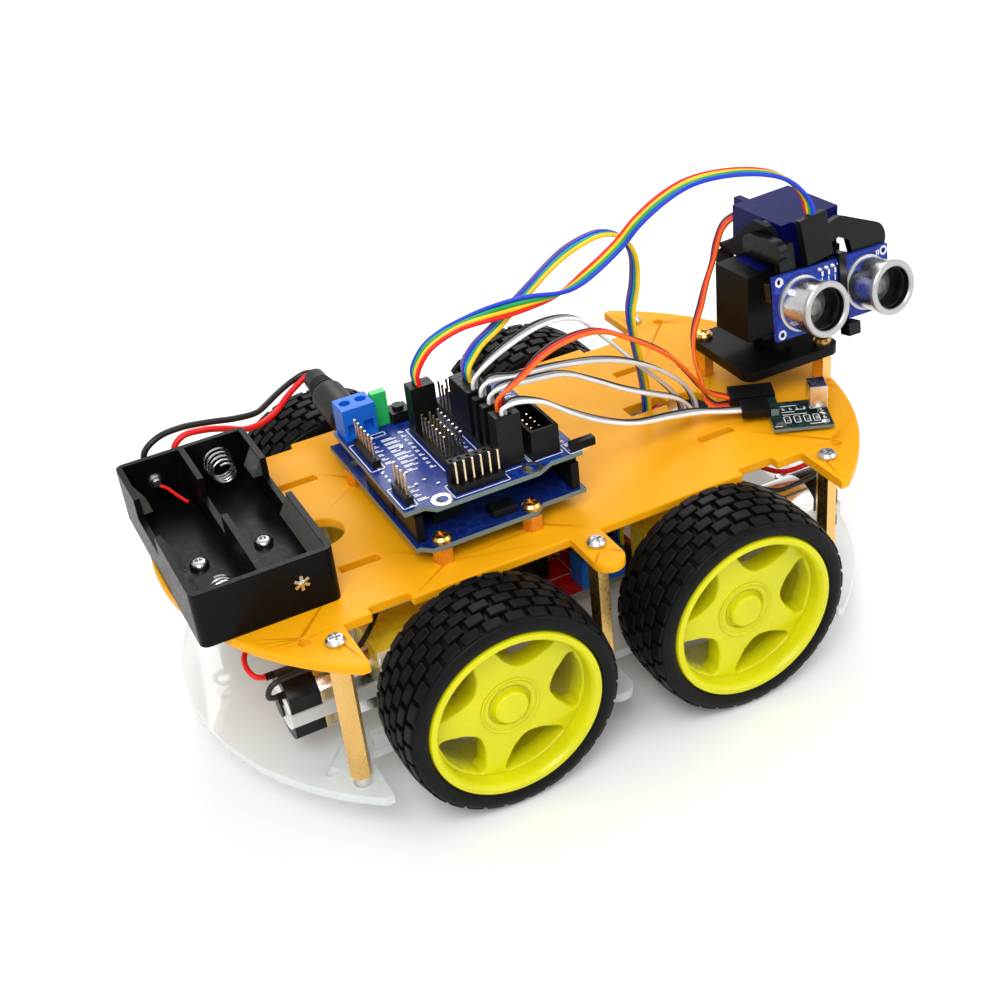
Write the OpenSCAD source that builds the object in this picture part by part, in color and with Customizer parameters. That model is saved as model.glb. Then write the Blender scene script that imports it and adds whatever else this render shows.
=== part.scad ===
// Four wheel drive robot chassis with a pan and tilt ultrasonic head.
// X points forward, Y to the robot's left, Z up. The origin is on the ground under the middle.

/* [Wheels] */
// Outer diameter of a tyre
wheel_d = 65; // [64:0.5:66]
// Width of a tyre
tyre_w = 25; // [24:0.5:25]
// Distance between the front and rear axles
wheelbase = 76; // [76:0.5:77]
// Overall width across the tyres
track_outer = 152; // [152:0.5:154]
// Spokes in a rim
spokes = 5; // [4:1:7]

/* [Decks] */
// Length of both plates
deck_l = 220; // [218:1:224]
// Thickness of both plates
plate_t = 3; // [2.8:0.1:3.2]
// Radius of the round ends of the plates
lobe_r = 85; // [84:0.5:86]
// Top of the lower plate above the ground
lower_top = 15.5; // [15.5:0.5:16]
// Clear height between the plates
deck_gap = 43; // [43:0.5:44]

/* [Head] */
// Direction in which the head looks, from straight ahead
pan_at_rest = -85; // [-86:1:-84]
// Angle by which the sensor looks up
tilt_at_rest = 10; // [9:1:11]

/* [Hidden] */
$fn = 48;

// The decks' middle: the head overhangs the nose, so this centres the whole part
mid = -10;

// Heights of the plates
lower_z = lower_top - plate_t;
upper_z = lower_top + deck_gap;
deck_z = upper_z + plate_t;

// Wheels and gearmotors
axle_x = wheelbase / 2;
axle_z = wheel_d / 2;
tyre_out = track_outer / 2;
tyre_in = tyre_out - tyre_w;
rim_r = 26;
hub_r = 6;
shaft_d = 5.4;
shaft_flat = 3.7;
fit = 0.05;
gear_l = 37.5;
gear_h = 22.5;
gear_w = 18.8;
gear_out = 45.5;
gear_in = gear_out - gear_w;
motor_y = gear_out - gear_w / 2;
lead_z = 27;
gear_nose = 11.5;
case_wall = 1.6;
seam = 0.03;
can_d = 20.1;
can_flat = 15.4;
can_l = 18;
cap_l = 9;
screw_dx = 21;
screw_dz = 8.75;

// Plate outline
cut_in = 4.8;
cut_out = 73.5;
cut_y = 48.6;
notch_y = gear_out;
notch_from = 53;
notch_to = 65;
lobe_x = deck_l / 2 - lobe_r;
tab_y = 66;
post_x = 78;
post_y = 55;
posts = [[-post_x, -post_y], [0, -post_y], [post_x, -post_y],
    [-post_x, post_y], [0, post_y], [post_x, post_y]];
m3_hole = 3.2;
m3_shank = 2.9;
slot_l = 12;
slot_w = 3.2;
bracket_x = axle_x + screw_dx;
bracket_y = gear_in - plate_t / 2;
wire_hole_d = 14;
wire_hole = [63, -4.5];
extra_holes = [[-85, -50], [-85, 50], [85, -50], [85, 50]];
brass = "#c9a24a";
steel = "#c8ccd2";
black = "#17181a";
pcb_blue = "#1c3f9a";
pin_gold = "#cdb98a";

// Driver board, between the plates
driver_c = [14, -4];
driver_s = 43;
driver_z = lower_top + 6;
driver_hole = 18.5;

// Controller board: its long side runs along Y, sockets towards -Y
uno = [-46, 28.7];
uno_z = deck_z + 5;
pcb_t = 1.6;
uno_top = uno_z + pcb_t;
uno_holes = [[13.97, 2.54], [15.24, 50.8], [66.04, 7.62], [66.04, 35.56]];
socket_h = 8.5;
pitch = 2.54;

// Sensor shield, on the controller's sockets
shield_z = uno_top + socket_h + 2.5;
shield_top = shield_z + pcb_t;
header_h = 2.5;
housing_z = shield_top + header_h;
housing_top = 97;
left_col = -45;
block_a = [-29.1, 2];
block_b = [-16.8, 9.6];
housing_rows = [5, 6, 7, 8, 9, 11, 13, 15, 16];

// Battery box
bat_c = [-89, 0.5];
bat_l = 40;
bat_w = 77;
bat_h = 17;
bat_wall = 1.8;
cell_d = 18.5;
bat_screw_y = -3.5;

// Head: the turret's frame stands on the gimbal base, X forward when the head looks ahead
head = [91.5, -4, deck_z + 13.2];
base_t = 3.2;
base_s = [35, 33];
gimbal_posts = [[-14, 13], [13.3, -12.5]];
tilt_x = 0;
tilt_z = 34.1;
sonar_c = [13.2, 12.5, 15.8];
sonar_skew = -3.3;
sonar_s = [1.6, 45, 20];
sonar_d = 16;
sonar_l = 12.4;
tie_y = 2.1;
tie_w = 2.8;

// Infrared board, on the deck
ir_c = [84.2, -33];
ir_turn = -25;

// Line sensors, under the nose
line_x = 98;
line_ys = [-16, 0, 16];
line_top = 9;

// Routes of the leads
ribbon_pts = [[-36, -1.6, 97], [-36, -1.6, 101], [-32, -2, 107], [-25, -2, 110], [-16, -3, 112],
    [-2, -5, 113], [10, -7, 114], [19, -8, 118], [28, -9, 124], [34, -10, 130], [42, -11, 135],
    [51, -12, 138], [63, -13, 138], [74, -14, 135.5], [82, -14.3, 131.5], [87, -14.5, 127],
    [89.2, -15.2, 122.9], [89.67, -16, 119.1]];
driver_pts = [[-23, -8.2, 97], [-23, -8.2, 101], [-18, -5.2, 104.5], [-10, -2.2, 107],
    [-3, 0.3, 110.3], [4, 1.2, 114.5], [12, 1.6, 119.4], [19, 1.8, 122.6], [28, 2, 124],
    [35, 2, 121], [39, 2, 114], [39, 2, 105], [37, 2, 96], [38, 2, 85], [40, 2, 74], [41, 2, 64],
    [41, 2, 57], [39.5, -1, 51], [36, -6, 47.5], [29, -13, 46], [21.5, -18.5, 44],
    [17.2, -19.9, 39.5], [16.2, -19.9, 35], [16.2, -19.9, 31.6]];
servo_pts = [[97, 14, 106.2], [96.5, 16.9, 106.3], [92.9, 20.3, 106.5], [87.3, 21.2, 106.6],
    [82.3, 19.4, 105.3], [78.2, 16.9, 101.7], [74.5, 13.8, 97.5], [70.8, 11.7, 92.5], [66, 8, 87],
    [60.5, 4, 80.5], [57, -2, 75], [56.5, -6, 69.5], [55.5, -10, 65], [57.2, -12.8, 62.9],
    [61, -14.4, 62.8]];
extension_pts = [[-23, -29.8, 97], [-23, -29.8, 100.5], [-15, -29, 105], [-8, -27, 108],
    [0, -25, 109], [12, -22, 107], [24, -20, 100], [37, -18, 90], [47, -15, 78],
    [54.6, -12.2, 68.5], [61, -14.4, 65.3]];
ir_pts = [[-23, -32.3, 97], [-23, -32.3, 98.8], [-20.5, -33, 100.4], [-13, -33, 98], [-3, -30, 90],
    [9, -26, 81], [22, -23, 74], [36, -20, 70], [47, -18.5, 67], [54, -20, 65.5], [60, -22.4, 65]];
line_1_pts = [[-23, -14.5, 97], [-23, -14.5, 99.6], [-20, -13.6, 102.4], [-10, -10, 105],
    [2, -8, 107], [14, -6, 104], [24, -5, 94], [36, -5, 80], [45, -3.5, 70], [50.5, -2.3, 62],
    [51.5, -2.2, 57], [53, -2.6, 48], [53.5, -1.5, 34], [53, -2, 20], [53.5, -2, 12], [56, 1, 7.5],
    [62, 7, 6.5], [69, 13, 8], [74, 16, 10.3], [77, 16, 10.5]];
line_2_pts = [[-23, -19.6, 97], [-23, -19.6, 99.2], [-20.6, -18.8, 100.8], [-12, -16, 98],
    [4, -13, 95], [19, -11, 91], [32, -10, 85], [43, -8, 77], [51, -5.6, 68.5], [54.2, -4.7, 62],
    [54.8, -4.8, 56], [55.5, -6, 46], [56, -6, 34], [55.5, -5, 20], [55.5, -5, 12], [57.5, -4, 7],
    [63, -2, 6], [70, 0, 8], [74, 0, 10.3], [77, 0, 10.5]];
line_3_pts = [[-23, -24.7, 97], [-23, -24.7, 99.2], [-20.6, -24.6, 100.9], [-11, -22, 99],
    [2, -18, 95], [13, -15, 88], [24, -14, 81], [36, -12, 74], [45.5, -9.8, 68], [50.5, -8.2, 62.5],
    [51.8, -8, 57], [51.5, -9.5, 48], [52, -10, 34], [51, -8.5, 20], [52, -8.5, 12], [55, -9.5, 7],
    [62, -13, 6.3], [69, -16, 8], [74, -16, 10.3], [77, -16, 10.5]];
plus_pts = [[-99.5, 39.1, 70], [-99.5, 41, 70], [-100, 43.3, 72.3], [-99.5, 44, 76],
    [-96, 44.5, 78.4], [-89.4, 45.5, 77.6], [-82.3, 48, 74.4], [-76, 50.3, 70.8], [-70, 53, 69.4],
    [-65.5, 55.5, 69.4], [-62, 57.8, 70], [-58, 60.2, 71.8], [-53, 61.8, 74.2], [-49.4, 62, 75.9],
    [-49.3, 59.8, 75.8]];
minus_pts = [[-109, 39.1, 70], [-109, 41, 70], [-109.5, 43.5, 72.5], [-108.5, 44.5, 77],
    [-103.5, 45, 80.2], [-96, 47, 80], [-87, 50, 77.3], [-77, 53, 73.9], [-69.4, 56.5, 71.8],
    [-65, 59.2, 72.2], [-60.5, 62, 73], [-54, 65.2, 74], [-49.3, 65, 75.4], [-47.2, 62.4, 76],
    [-47.1, 59.8, 75.8]];

// A gearmotor's two leads, over the motor to the driver board's terminal
function lead_end(sx, sy, k) = sx > 0 ?
    [mid + driver_c[0] + 21.4, 2.1 + sy * k, lead_z] :
    [mid + driver_c[0] - 21.4, -8.9 + sy * k, lead_z];
function both_ways(sx, sy, pts) = [for (p = pts) [mid + sx * p[0], sy * p[1], p[2]]];
function lead_in(sx, sy, k, far) = [for (d = far)
    lead_end(sx, sy, k) + [sx * d[0], sy * d[1], d[2]]];
function black_lead(sx, sy) = concat(
    both_ways(sx, sy, [[93.4, 41.1, 40], [95.6, 41.3, 41.2], [94.2, 41, 44.2], [87, 40.5, 45],
        [78, 41, 44.8], [70, 41, 45.2], [62, 36, 48], [56, 28, 49], [48, 18, 45]]),
    lead_in(sx, sy, 1.3, sx > 0 ? [[6.8, 6, 11], [4.6, 1, 3.4], [2.2, 0, 0], [0, 0, 0]] :
        [[28, 8, 11], [14, 3, 4], [3.6, 0, 0], [0, 0, 0]]));
function red_lead(sx, sy) = sx > 0 ? concat(
    both_ways(sx, sy, [[93.4, 31.1, 40], [95.6, 31.4, 41.2], [94.2, 32, 44.2], [87, 34, 45],
        [78, 32.5, 44.6], [71, 25, 46.4], [64, 20, 47.6], [55, 15.6, 44.5]]),
    lead_in(sx, sy, 3.9, [[8, 4, 4], [4.6, 1, 1.2], [2.2, 0, 0], [0, 0, 0]])) : concat(
    both_ways(sx, sy, [[93.4, 31.1, 40], [95.8, 30.6, 41], [97, 27, 42.3], [95.5, 22, 43.3],
        [90, 18.5, 43], [80, 16.5, 40], [66, 15, 36], [50, 14, 33]]),
    lead_in(sx, sy, 3.9, [[26, 8, 3], [12, 2, 1], [3.6, 0, 0], [0, 0, 0]]));

// Small helpers

module at_mid() {
    translate([mid, 0, 0]) children();
}

module box(size, at) {
    translate(at) cube(size);
}

module rod(d, h, at) {
    translate(at) cylinder(d = d, h = h);
}

// A lead: a flat tube of width w and thickness t along pts. It lies across the direction "from"
// where it starts and across "across" from its fourth point on.
function unit(v) = v / norm(v);
function along(pts, i) =
    i == 0 ? pts[1] - pts[0] :
    i == len(pts) - 1 ? pts[i] - pts[i - 1] :
    unit(pts[i + 1] - pts[i]) + unit(pts[i] - pts[i - 1]);
function ring(pts, i, w, t, across, from) =
    let (f = min(i / 3, 1), c = from * (1 - f) + across * f)
    let (d = unit(along(pts, i)), a = unit(c - d * (c * d)), b = cross(d, a))
    [for (k = [0:7]) pts[i] + a * w / 2 * cos(22.5 + 45 * k) + b * t / 2 * sin(22.5 + 45 * k)];

module lead(pts, w, t, across, from) {
    n = len(pts);
    start_across = from == undef ? across : from;
    rings = [for (i = [0:n - 1]) each ring(pts, i, w, t, across, start_across)];
    sides = [for (i = [0:n - 2], k = [0:7], h = [0, 1])
        let (a = i * 8 + k, b = i * 8 + (k + 1) % 8)
        h == 0 ? [a, b, b + 8] : [a, b + 8, a + 8]];
    start = [for (k = [0:7]) 7 - k];
    end = [for (k = [0:7]) (n - 1) * 8 + k];
    polyhedron(rings, concat([start, end], sides));
}

module pan_screw(shank) {
    difference() {
        union() {
            rotate_extrude() polygon([[0, 0], [2.8, 0], [2.8, 1], [2.1, 1.8], [0, 2]]);
            rod(m3_shank, shank + 0.1, [0, 0, -shank]);
        }
        for (a = [0, 90]) rotate(a) box([3.2, 0.8, 1.2], [-1.6, -0.4, 1]);
    }
}

module hex_nut(h = 2.4) {
    difference() {
        cylinder(d = 6.35, h = h, $fn = 6);
        rod(3, h + 2, [0, 0, -1]);
    }
}

module hex_post(h, bore = 3) {
    difference() {
        cylinder(d = 6.35, h = h, $fn = 6);
        rod(bore, min(9, h), [0, 0, -1]);
        rod(bore, min(9, h), [0, 0, h + 1 - min(9, h)]);
    }
}

// Places children at the four axles, x forward of the axle towards the nearer end of the robot,
// y outward
module at_motors() {
    for (sx = [-1, 1], sy = [-1, 1]) at_axle(sx, sy) children();
}

module at_axle(sx, sy) {
    translate([mid + sx * axle_x, 0, axle_z])
        mirror([sx < 0 ? 1 : 0, 0, 0]) mirror([0, sy < 0 ? 1 : 0, 0]) children();
}

// Cylinder along y, from y0 to y1
module y_rod(d, y0, y1, at = [0, 0]) {
    translate([at[0], y1, at[1]]) rotate([90, 0, 0]) cylinder(d = d, h = y1 - y0);
}

// Plates

module deck_outline() {
    difference() {
        for (s = [-1, 1]) translate([s * lobe_x, 0]) circle(r = lobe_r, $fn = 96);
        for (sx = [-1, 1], sy = [-1, 1]) scale_xy(sx, sy) {
            translate([0, cut_y]) square([cut_out, 60]);
            translate([notch_from, notch_y]) square([notch_to - notch_from, 10]);
            translate([cut_out - 1, 68]) square([20, 20]);
        }
    }
    for (s = [-1, 1]) {
        translate([-cut_in, s > 0 ? 0 : cut_in - tab_y]) square([2 * cut_in, tab_y - cut_in]);
        translate([0, s * (tab_y - cut_in)]) circle(r = cut_in);
    }
}

module scale_xy(sx, sy) {
    mirror([sx < 0 ? 1 : 0, 0]) mirror([0, sy < 0 ? 1 : 0]) children();
}

module deck_plate() {
    difference() {
        linear_extrude(plate_t) deck_outline();
        for (p = posts) rod(m3_hole, 2 * plate_t + 2, [p[0], p[1], -1]);
        for (p = extra_holes) rod(m3_hole, 2 * plate_t + 2, [p[0], p[1], -1]);
        for (sx = [-1, 1]) {
            rod(wire_hole_d, plate_t + 2, [sx * wire_hole[0], wire_hole[1], -1]);
            for (sy = [-1, 1])
                box([slot_l, slot_w, plate_t + 2],
                    [sx * bracket_x - slot_l / 2, sy * bracket_y - slot_w / 2, -1]);
        }
    }
}

module lower_plate() at_mid() {
    color("#e8f1f2", 0.5) translate([0, 0, lower_z]) difference() {
        deck_plate();
        for (sx = [-1, 1], sy = [-1, 1])
            rod(m3_hole, plate_t + 2,
                [driver_c[0] + sx * driver_hole, driver_c[1] + sy * driver_hole, -1]);
        for (y = line_ys) rod(m3_hole, plate_t + 2, [line_x + 4, y, -1]);
    }
}

module upper_plate() at_mid() {
    color("#f7ab12", 0.9) translate([0, 0, upper_z]) difference() {
        deck_plate();
        box([14, 6, plate_t + 2], [44, -1, -1]);
        for (h = uno_holes) rod(m3_hole, plate_t + 2, [uno[0] + h[1], uno[1] - h[0], -1]);
        for (p = gimbal_posts) rod(m3_hole, plate_t + 2, [head[0] + p[0], head[1] + p[1], -1]);
        for (s = [-1, 1]) rod(m3_hole, plate_t + 2, [bat_c[0] + s * 9.6, bat_c[1] + bat_screw_y, -1]);
    }
}

module deck_standoffs() at_mid() {
    color(brass) for (p = posts) translate([p[0], p[1], lower_top]) hex_post(deck_gap);
}

module deck_screws() at_mid() {
    color(steel) for (p = posts) {
        translate([p[0], p[1], deck_z]) pan_screw(8);
        translate([p[0], p[1], lower_z]) mirror([0, 0, 1]) pan_screw(8);
    }
}

// Gearmotors

module motor_bracket() {
    foot_w = 24;
    foot_h = 5;
    post_w = 12;
    top = axle_z + 13;
    difference() {
        union() {
            box([post_w - 0.4, plate_t, plate_t], [-post_w / 2 + 0.2, 0, lower_z]);
            box([foot_w, plate_t, foot_h], [-foot_w / 2, 0, lower_top]);
            box([post_w, plate_t, top - lower_top - 1], [-post_w / 2, 0, lower_top + 1]);
        }
        for (s = [-1, 1]) y_rod(m3_hole, -1, plate_t + 1, [0, axle_z + s * screw_dz]);
    }
}

module motor_brackets() {
    color("#dfeaec", 0.6) at_motors() translate([screw_dx, 0, -axle_z]) {
        translate([0, gear_out, 0]) motor_bracket();
        translate([0, gear_in - plate_t, 0]) motor_bracket();
    }
}

module motor_fasteners() {
    head_y = gear_out + plate_t;
    color(steel) at_motors() for (s = [-1, 1]) translate([screw_dx, 0, s * screw_dz]) {
        translate([0, head_y, 0]) rotate([-90, 0, 0]) pan_screw(30);
        translate([0, gear_in - plate_t - 2.4, 0]) rotate([-90, 0, 0]) hex_nut();
    }
}

// One half of a gearbox case, from y0 to y1, open towards y = motor_y
module gear_half(y0, y1) {
    wall_lo = y0 < motor_y - 1 ? case_wall : 0;
    wall_hi = case_wall - wall_lo;
    difference() {
        union() {
            difference() {
                box([gear_l, y1 - y0, gear_h], [-gear_nose, y0, -gear_h / 2]);
                box([gear_l - 2 * case_wall, y1 - y0 - case_wall, gear_h - 2 * case_wall],
                    [case_wall - gear_nose, y0 + wall_lo, case_wall - gear_h / 2]);
            }
            for (s = [-1, 1]) y_rod(5, y0 + 0.1, y1 - 0.1, [screw_dx, s * screw_dz]);
        }
        y_rod(shaft_d + 2 * fit, y0 - 1, y1 + 1);
        for (s = [-1, 1]) y_rod(m3_hole, y0 - 1, y1 + 1, [screw_dx, s * screw_dz]);
    }
}

module gearbox_shells() {
    color("#e8d44a") at_motors() {
        gear_half(gear_in, motor_y - seam);
        gear_half(motor_y + seam, gear_out);
    }
}

module can_shape(d, flat) {
    intersection() {
        circle(d = d);
        square([flat, d], center = true);
    }
}

// Extrusion of a can's section along x, from x0
module along_can(x0, l) {
    translate([x0, motor_y, 0]) rotate([90, 0, 90]) linear_extrude(l) children();
}

can_x = gear_l - gear_nose;

module motor_cans() {
    color(steel) at_motors() difference() {
        along_can(can_x, can_l) can_shape(can_d, can_flat);
        along_can(can_x + 1, can_l) can_shape(can_d - 1.2, can_flat - 1.2);
    }
}

module motor_end_caps() {
    end = can_x + can_l + cap_l;
    color(black) at_motors() {
        along_can(can_x + can_l + 0.05, cap_l - 0.05) can_shape(can_d, can_flat);
        along_can(end - 0.1, 1.6) circle(d = 6);
        for (s = [-1, 1]) box([2.5, 2.6, 0.6], [end - 0.1, motor_y + 5 * s - 1.3, 7.2]);
    }
}

module motor_straps() {
    t = 0.8;
    h = 4;
    end = can_x + can_l + cap_l;
    color("#f2f2ee") at_motors() {
        for (s = [-1, 1]) box([end - can_x - 0.1, t, h],
            [can_x + 0.1, motor_y + s * (can_flat + t) / 2 - t / 2, -h / 2]);
        difference() {
            box([t, can_flat + 2 * t, h], [end, motor_y - can_flat / 2 - t, -h / 2]);
            translate([end - 1, motor_y, 0]) rotate([0, 90, 0]) cylinder(d = 6.2, h = 4);
        }
    }
}

// Wheels

module tyre() {
    shoulder = 2.2;
    bead = 1;
    rotate([-90, 0, 0]) rotate_extrude($fn = 96) polygon([
        [rim_r, tyre_in + bead], [rim_r + bead, tyre_in], [axle_z - shoulder, tyre_in],
        [axle_z, tyre_in + shoulder], [axle_z, tyre_out - shoulder],
        [axle_z - shoulder, tyre_out], [rim_r + bead, tyre_out], [rim_r, tyre_out - bead]]);
}

module rim() {
    lip = 1.2;
    barrel = 2;
    face_y = tyre_out - 5;
    web = 8;
    hub_in = tyre_in - 3;
    hub_bore = 10;
    difference() {
        union() {
            rotate([-90, 0, 0]) rotate_extrude($fn = 96) polygon([
                [rim_r - barrel, tyre_in + 0.5], [rim_r, tyre_in + 0.5],
                [rim_r, tyre_out - 1], [rim_r - 0.4, tyre_out], [rim_r - lip - 1, tyre_out],
                [rim_r - barrel - 0.6, tyre_out - lip], [rim_r - barrel - 0.6, face_y - web],
                [rim_r - barrel, face_y - web - 2]]);
            y_rod(2 * hub_r, hub_in, face_y);
            y_rod(17, face_y - web, face_y - 1);
            y_rod(8, face_y - 2, face_y + 1.5);
            for (k = [0:spokes - 1]) rotate([0, 90 + 360 / spokes * k, 0])
                translate([0, face_y - web / 2 - 0.5, 0]) rotate([90, 0, 0])
                    linear_extrude(web - 1.4, center = true)
                        polygon([[6, -3], [15, -3.6], [rim_r - 1.5, -8], [rim_r - 1.5, 8],
                            [15, 3.6], [6, 3]]);
        }
        intersection() {
            y_rod(shaft_d + 0.1, hub_in - 1, hub_in + hub_bore);
            box([shaft_d + 1, 40, shaft_flat + 0.1],
                [-shaft_d / 2 - 0.5, hub_in - 2, -shaft_flat / 2 - 0.05]);
        }
    }
}

module output_shaft() {
    teeth = 28;
    gear_r = 8.2;
    y_rod(shaft_d, gear_in - 4, gear_out + 1.4);
    intersection() {
        y_rod(shaft_d, gear_out + 1, tyre_in - 3 + 9);
        box([shaft_d, 40, shaft_flat], [-shaft_d / 2, gear_out, -shaft_flat / 2]);
    }
    translate([0, motor_y + 3, 0]) rotate([90, 0, 0]) linear_extrude(5)
        polygon([for (k = [0:4 * teeth - 1])
            (gear_r + (k % 4 < 2 ? 0.6 : -0.6)) * [cos(90 * k / teeth), sin(90 * k / teeth)]]);
}

module black_tyre(sx, sy) {
    color(black) at_axle(sx, sy) tyre();
}

module lime_rim(sx, sy) {
    color("#c9e023") at_axle(sx, sy) rim();
}

module white_shaft(sx, sy) {
    color("#eeeeea") at_axle(sx, sy) output_shaft();
}

module tyre_front_left() black_tyre(1, 1);
module tyre_front_right() black_tyre(1, -1);
module tyre_rear_left() black_tyre(-1, 1);
module tyre_rear_right() black_tyre(-1, -1);
module rim_front_left() lime_rim(1, 1);
module rim_front_right() lime_rim(1, -1);
module rim_rear_left() lime_rim(-1, 1);
module rim_rear_right() lime_rim(-1, -1);
module shaft_front_left() white_shaft(1, 1);
module shaft_front_right() white_shaft(1, -1);
module shaft_rear_left() white_shaft(-1, 1);
module shaft_rear_right() white_shaft(-1, -1);

// Motor driver

module driver_board() at_mid() {
    color("#b3201f") translate([driver_c[0], driver_c[1], driver_z]) difference() {
        box([driver_s, driver_s, pcb_t], [-driver_s / 2, -driver_s / 2, 0]);
        for (sx = [-1, 1], sy = [-1, 1])
            rod(m3_hole, pcb_t + 2, [sx * driver_hole, sy * driver_hole, -1]);
    }
}

module driver_parts() at_mid() {
    translate([driver_c[0], driver_c[1], driver_z + pcb_t]) {
        color(black) {
            box([23, 2.5, 24], [-11.5, 6, 0]);
            for (k = [0:5]) box([1.4, 10, 24], [-11.5 + 4.3 * k, 8.4, 0]);
            box([20, 4.6, 17], [-10, 1.2, 3]);
            for (s = [-1, 1]) rod(10, 10.5, [s * 13, -5, 0]);
            box([2.5, 10.2, 8.5], [11, -21, 0]);
        }
        color("#2864b4") {
            box([7.6, 10.2, 10], [-21.4, -10, 0]);
            box([7.6, 10.2, 10], [13.8, 1, 0]);
            box([15.2, 7.6, 10], [-4.4, -21.4, 0]);
        }
    }
}

// Controller board

module at_uno(z = uno_top) {
    translate([mid + uno[0], uno[1], z]) rotate(-90) children();
}

module controller_board() {
    color(pcb_blue) at_uno(uno_z) difference() {
        linear_extrude(pcb_t) polygon([[0, 0], [66, 0], [66, 1.3], [68.6, 3.9], [68.6, 36.6],
            [66, 39.2], [66, 53.3], [0, 53.3]]);
        for (h = uno_holes) rod(m3_hole, pcb_t + 2, [h[0], h[1], -1]);
    }
}

module socket_row(n, at) {
    difference() {
        box([n * pitch, 2.5, socket_h], at);
        for (k = [0:n - 1])
            box([0.8, 0.8, 7], [at[0] + pitch * (k + 0.5) - 0.4, at[1] + 0.85, at[2] + 2]);
    }
}

module controller_sockets() {
    color(black) at_uno() {
        socket_row(8, [27, 1.3, 0]);
        socket_row(6, [49, 1.3, 0]);
        socket_row(10, [18, 49.5, 0]);
        socket_row(8, [44.6, 49.5, 0]);
        box([30, 9, 3.4], [28, 9, 0]);
        box([5.1, 7.6, 2.5], [60.5, 24, 0]);
    }
}

module controller_ports() {
    at_uno() {
        color(steel) difference() {
            box([16, 12, 10.6], [-6, 31.7, 0]);
            box([10, 9, 7.6], [-7, 33.2, 1.5]);
        }
        color(black) difference() {
            box([13.2, 9, 10.4], [-1.8, 3.3, 0]);
            translate([-3, 7.8, 6.2]) rotate([0, 90, 0]) cylinder(d = 6.4, h = 11);
        }
    }
}

module board_fasteners() at_mid() {
    for (k = [0:3]) translate([uno[0] + uno_holes[k][1], uno[1] - uno_holes[k][0], 0]) {
        color(brass) {
            translate([0, 0, deck_z]) hex_post(uno_z - deck_z);
            if (k > 1) translate([0, 0, uno_top]) pan_screw(4);
        }
        color(steel) translate([0, 0, upper_z]) mirror([0, 0, 1]) pan_screw(5);
    }
    for (sx = [-1, 1], sy = [-1, 1])
        translate([driver_c[0] + sx * driver_hole, driver_c[1] + sy * driver_hole, 0]) {
            color(brass) translate([0, 0, lower_top]) hex_post(6);
            color(steel) {
                translate([0, 0, driver_z + pcb_t]) pan_screw(4);
                translate([0, 0, lower_z]) mirror([0, 0, 1]) pan_screw(5);
            }
        }
    translate(head) for (p = gimbal_posts) translate([p[0], p[1], 0]) {
        color(brass) translate([0, 0, -13.2]) hex_post(10);
        color(steel) {
            pan_screw(7);
            translate([0, 0, -13.2 - plate_t]) mirror([0, 0, 1]) pan_screw(7);
        }
    }
}

// Sensor shield

module shield_board() at_mid() {
    color(pcb_blue) translate([0, 0, shield_z]) difference() {
        linear_extrude(pcb_t) polygon([[-48, 15], [-48, -37.4], [-42, -37.4], [-39.5, -40],
            [-8, -40], [-3, -37.4], [7, -37.4], [7, 15]]);
        for (k = [2, 3])
            rod(m3_hole, pcb_t + 2, [uno[0] + uno_holes[k][1], uno[1] - uno_holes[k][0], -1]);
    }
}

module header(cols, rows, at, h = header_h) {
    box([cols * pitch, rows * pitch, h], [at[0], at[1] - rows * pitch, shield_top]);
}

module pins(cols, rows, at, top) {
    w = 0.64;
    for (i = [0:cols - 1], j = [0:rows - 1])
        box([w, w, top - housing_z],
            [at[0] + pitch * (i + 0.5) - w / 2, at[1] - pitch * (j + 0.5) - w / 2, housing_z]);
}

front_6 = [-32.6, -35.4];
pin_top = 90;

module shield_headers() at_mid() {
    color(black) {
        header(1, 6, [left_col - 1.27, 3.2]);
        header(1, 4, [left_col - 1.27, -24.8]);
        header(3, 10, block_a);
        header(3, 17, block_b);
        header(6, 1, front_6);
        header(3, 1, [4, -34.4]);
        difference() {
            header(6, 1, [front_6[0], front_6[1] + 3], 8.5);
            for (k = [0:5]) box([0.8, 0.8, 7],
                [front_6[0] + pitch * (k + 0.5) - 0.4, front_6[1] + 1.3, shield_top + 3]);
        }
        difference() {
            box([8.8, 19, 9], [-7.2, -34.5, shield_top]);
            box([6.6, 16.6, 8], [-6.1, -33.3, shield_top + 2]);
        }
        translate([0, 0, shield_z - 2.5]) for (x = [uno[0] + 1.3, uno[0] + 49.5])
            box([2.5, 36.8, 2.5], [x, -35.1, 0]);
    }
}

module shield_pins() at_mid() {
    color(pin_gold) {
        pins(1, 6, [left_col - 1.27, 3.2], pin_top);
        pins(1, 4, [left_col - 1.27, -24.8], pin_top);
        pins(6, 1, front_6, pin_top);
        translate([0, -pitch * 3, 0]) pins(3, 7, block_a, pin_top);
        pins(3, 4, block_b, pin_top);
        translate([0, 0, shield_top + 2 - housing_z]) pins(2, 5, [-5.3, -19.5], pin_top - 2);
    }
}

module shield_terminal() at_mid() {
    color("#2d7fe0") translate([-47, 6.6, shield_top]) difference() {
        translate([0, 8, 0]) rotate([90, 0, 0]) linear_extrude(8)
            square([10.2, 10.2]);
        for (k = [0, 1]) {
            rod(3.4, 3, [2.6 + 5 * k, 4.4, 8.2]);
            box([3, 3, 4], [1.1 + 5 * k, -1, 1.2]);
        }
        translate([-1, -3, 8.6]) rotate([30, 0, 0]) cube([13, 3, 6]);
    }
    color("#2fb457") box([4.6, 2.5, 8.5], [-36.5, 9.4, housing_z]);
    color(black) box([4.6, 2.5, 2.5], [-36.5, 9.4, shield_top]);
}

reset_at = [-28.5, 10.6];

module reset_switch() at_mid() {
    color("#3a3b3d") translate([reset_at[0], reset_at[1], shield_top]) difference() {
        box([6, 6, 3.5], [-3, -3, 0]);
        rod(3.6, 3, [0, 0, 1.6]);
    }
}

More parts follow.
